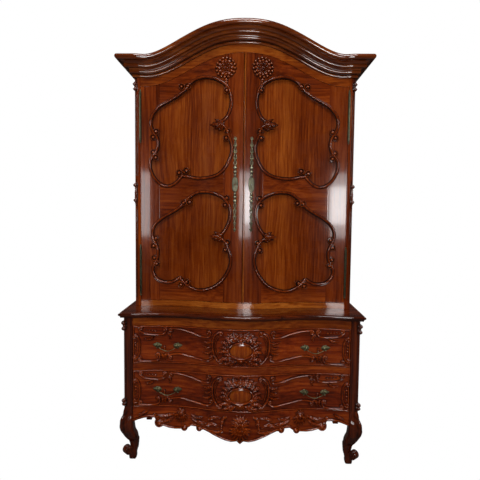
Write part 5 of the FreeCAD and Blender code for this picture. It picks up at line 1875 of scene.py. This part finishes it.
@dataclass
class PostScrolls(Part):
    """Small carved scrolls and long sunk lines on the canted corner of a post.

    Args:
        name: what the piece is called.
        side: X of the post's outer face.
        corner: Y of its front face.
        cant: width of the cant seen from the front.
        knobs: level and height of each scroll.
        lines: level of the foot and top of each pair of lines.
    """

    name: str
    side: float
    corner: float
    cant: float
    knobs: Sequence[Pair]
    lines: Sequence[Pair] = ()

    def ground(self, a: Array, b: Array, out: Array) -> Array:
        """The canted face: a runs along it from its front edge, b is the level."""
        root = math.sqrt(0.5)
        return rows(self.side - self.cant + (a + out) * root, self.corner + (a - out) * root, b)

    def build(self) -> None:
        """Carves both posts as one mesh."""
        carver = Carver(self.ground, sink=0.003)
        wide = self.cant * math.sqrt(2)
        middle = wide / 2
        for level, tall in self.knobs:
            points = [(middle, level - tall / 2), (middle * 0.96, level), (middle, level + tall / 2)]
            carver.leaf(points, 0.026, 0.0130)
            carver.dome((middle, level + tall * 0.28), (0.0125, 0.0140), 0.0215)
            carver.dome((middle, level - tall * 0.28), (0.0115, 0.0130), 0.0200)
        for low, high in self.lines:
            for share in (0.28, 0.72):
                carver.strip(rows(wide * share, np.linspace(low, high, 12)), 0.0042, 0.0026, columns=7)
        carver.stock.add(carver.stock.mirrored())
        self.piece(self.name, carver.stock, LEG_WOOD)


@dataclass
class Escutcheon(Part):
    """A long cast plate: a cartouche round the keyhole with chained scrolls over and under it.

    Args:
        side: which door.
        x: middle of the plate.
        level: its middle.
        length: its length.
        wide: half its width.
        stem: distance from its middle to where the vines start.
        waves: half waves of a vine; the two cross where each ends.
        hole: half the width of the keyhole.
        slot: reach of the keyhole's slot below its middle.
    """

    side: Side
    x: float = 0.0460
    level: float = 1.5400
    length: float = 0.5300
    wide: float = 0.0170
    stem: float = 0.1010
    waves: float = 4.5
    hole: float = 0.0034
    slot: float = 0.0105

    def arm(self, carver: Carver, way: int) -> None:
        """Half the plate's scrolls: three balls, two crossing vines and four pairs of leaves.

        Args:
            carver: where it is cast.
            way: 1 for the upper half, -1 for the lower.
        """
        for along, size in ((0.0520, 0.0064), (0.0700, 0.0076), (0.0925, 0.0084)):
            spot = (self.x, self.level + way * along)
            # a dark disc of painted shadow under each ball
            carver.hollow(spot, size * 1.25)
            carver.dome(spot, (size * 1.06, size * 0.96), 0.0062)
        z = np.linspace(self.stem, self.length / 2 - 0.002, 80)
        share = (z - z[0]) / (z[-1] - z[0])
        sway = (0.0072 - 0.0046 * share) * np.sin(share * math.pi * self.waves)
        for sign in (1, -1):
            path = rows(self.x + sign * sway, self.level + way * z)
            carver.strip(path, 0.0040 - 0.0012 * share, 0.0042, columns=7)
        for turn in (1, 2, 3, 4):
            level = self.level + way * (z[0] + (z[-1] - z[0]) * turn / self.waves)
            for sign in (1, -1):
                mid = (self.x + sign * 0.0040, level + way * 0.003)
                tip = (self.x + sign * (0.0115 - 0.0014 * turn), level + way * 0.014)
                carver.leaf([(self.x, level), mid, tip], 0.0062, 0.0040, lobes=2, count=16)

    def backing(self, carver: Carver) -> None:
        """The thin plate between the scrolls, pierced by the keyhole in its middle.

        It is a ring from the keyhole out to a narrow outline, so the hole stays open.

        Args:
            carver: where it is cast.
        """
        angles = full_turn(96)
        cosine, sine = np.cos(angles), np.sin(angles)
        inner = np.maximum(self.hole, self.slot * bell(angles, 1.5 * math.pi, 0.26))
        # three plates, each on the one before: half width and height, power of the outline, top, tone
        for wide, tall, power, top, tone in (
            (self.wide * 0.16, self.length * 0.455, 2.0, 0.0012, 0.10),
            (self.wide * 1.00, 0.0430, 2.6, 0.0014, 0.0),
            (self.wide * 0.86, 0.0390, 3.0, 0.0030, 0.22),
        ):
            outer = (np.abs(cosine / wide) ** power + np.abs(sine / tall) ** power) ** (-1 / power)
            share = np.array([0.0, 0.0, 0.5, 1.0, 1.0])[:, None]
            out = np.array([-0.0005, top, top * 1.3, top, -0.0005])[:, None]
            reach = inner + (outer - inner) * share
            points = UPPER(self.x + reach * cosine, self.level + reach * sine, out)
            carver.stock.grid(points, tone, closed=True)

    def build(self) -> None:
        """Casts one half of the plate and its mirror image about the middle level."""
        carver = Carver(UPPER, sink=LIP, flange=0.0011)
        self.arm(carver, 1)
        self.arm(carver, -1)
        self.backing(carver)
        word = self.side.word
        stock, replaced = carver.stock.on(self.side), (f"{word}_escutcheon",)
        self.piece(f"{word}_plate", stock, PLATE_CAST, f"{word}_door", replaced)


@dataclass
class HingeFinials(Part):
    """Turned knuckle ends and rings on the tall barrel hinges.

    Args:
        x: X of the hinges' axis.
        y: Y of the hinges' axis.
        length: length of a hinge.
        middles: levels of the middles of the two hinges of a door.
    """

    x: float = 0.58525
    y: float = -0.07155
    length: float = 0.2600
    middles: Pair = (1.9192, 1.0452)

    def lathe(self, profile: Array, level: float) -> Array:
        """Rings from a profile of (height, radius) round the hinge's axis."""
        up, radius, angle = profile[:, :1], profile[:, 1:], full_turn(20)
        return rows(self.x + radius * np.cos(angle), self.y + radius * np.sin(angle), level + up)

    def build(self) -> None:
        """Turns both ends of both hinges on both sides."""
        end = pairs((-5, 66, 15, 72, 30, 72, 45, 50, 70, 42, 100, 56, 135, 56, 170, 40, 200, 10), TENTHS)
        flipped = end[::-1] * np.array([-1.0, 1.0])
        stock = Stock()
        for middle in self.middles:
            stock.grid(self.lathe(end, middle + self.length / 2), 0.7)
            stock.grid(self.lathe(flipped, middle - self.length / 2), 0.7)
        stock.add(stock.mirrored())
        self.piece("hinge_finials", stock, HINGE_CAST)


@dataclass
class Chest(Part):
    """The chest's carved pieces."""

    def build(self) -> None:
        """Carves both legs, the apron and the scrolls on the chest's posts."""
        for side in Side:
            CabrioleLeg(self.finishes, side).build()
        ApronCarving(self.finishes).build()
        knobs = ((0.762, 0.056), (0.335, 0.034))
        PostScrolls(self.finishes, "chest_scrolls", 0.6410, -0.23085, 0.0100, knobs).build()


@dataclass
class Cupboard(Part):
    """The cupboard's carved and cast pieces."""

    def build(self) -> None:
        """Builds cornice, board, door carvings, plates, post scrolls and hinge ends."""
        Cornice(self.finishes).build()
        CommodeBoard(self.finishes).build()
        for side in Side:
            DoorCarving(self.finishes, side).build()
            Escutcheon(self.finishes, side).build()
        knobs = ((2.088, 0.048), (1.491, 0.155))
        lines = ((0.885, 1.395), (1.590, 2.040))
        PostScrolls(self.finishes, "post_scrolls", 0.6230, -0.06425, 0.0220, knobs, lines).build()
        HingeFinials(self.finishes).build()


PARTS: tuple[type[Part], ...] = (Joinery, Cupboard, Drawers, Chest)


def main() -> None:
    """Builds the finishes and every sub-assembly in order, then the studio."""
    logging.basicConfig(level=logging.INFO, format="%(message)s")
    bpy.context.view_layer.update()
    finishes = Finishes()
    for part in PARTS:
        part(finishes).build()
    Studio().build()


if __name__ == "__main__":
    main()
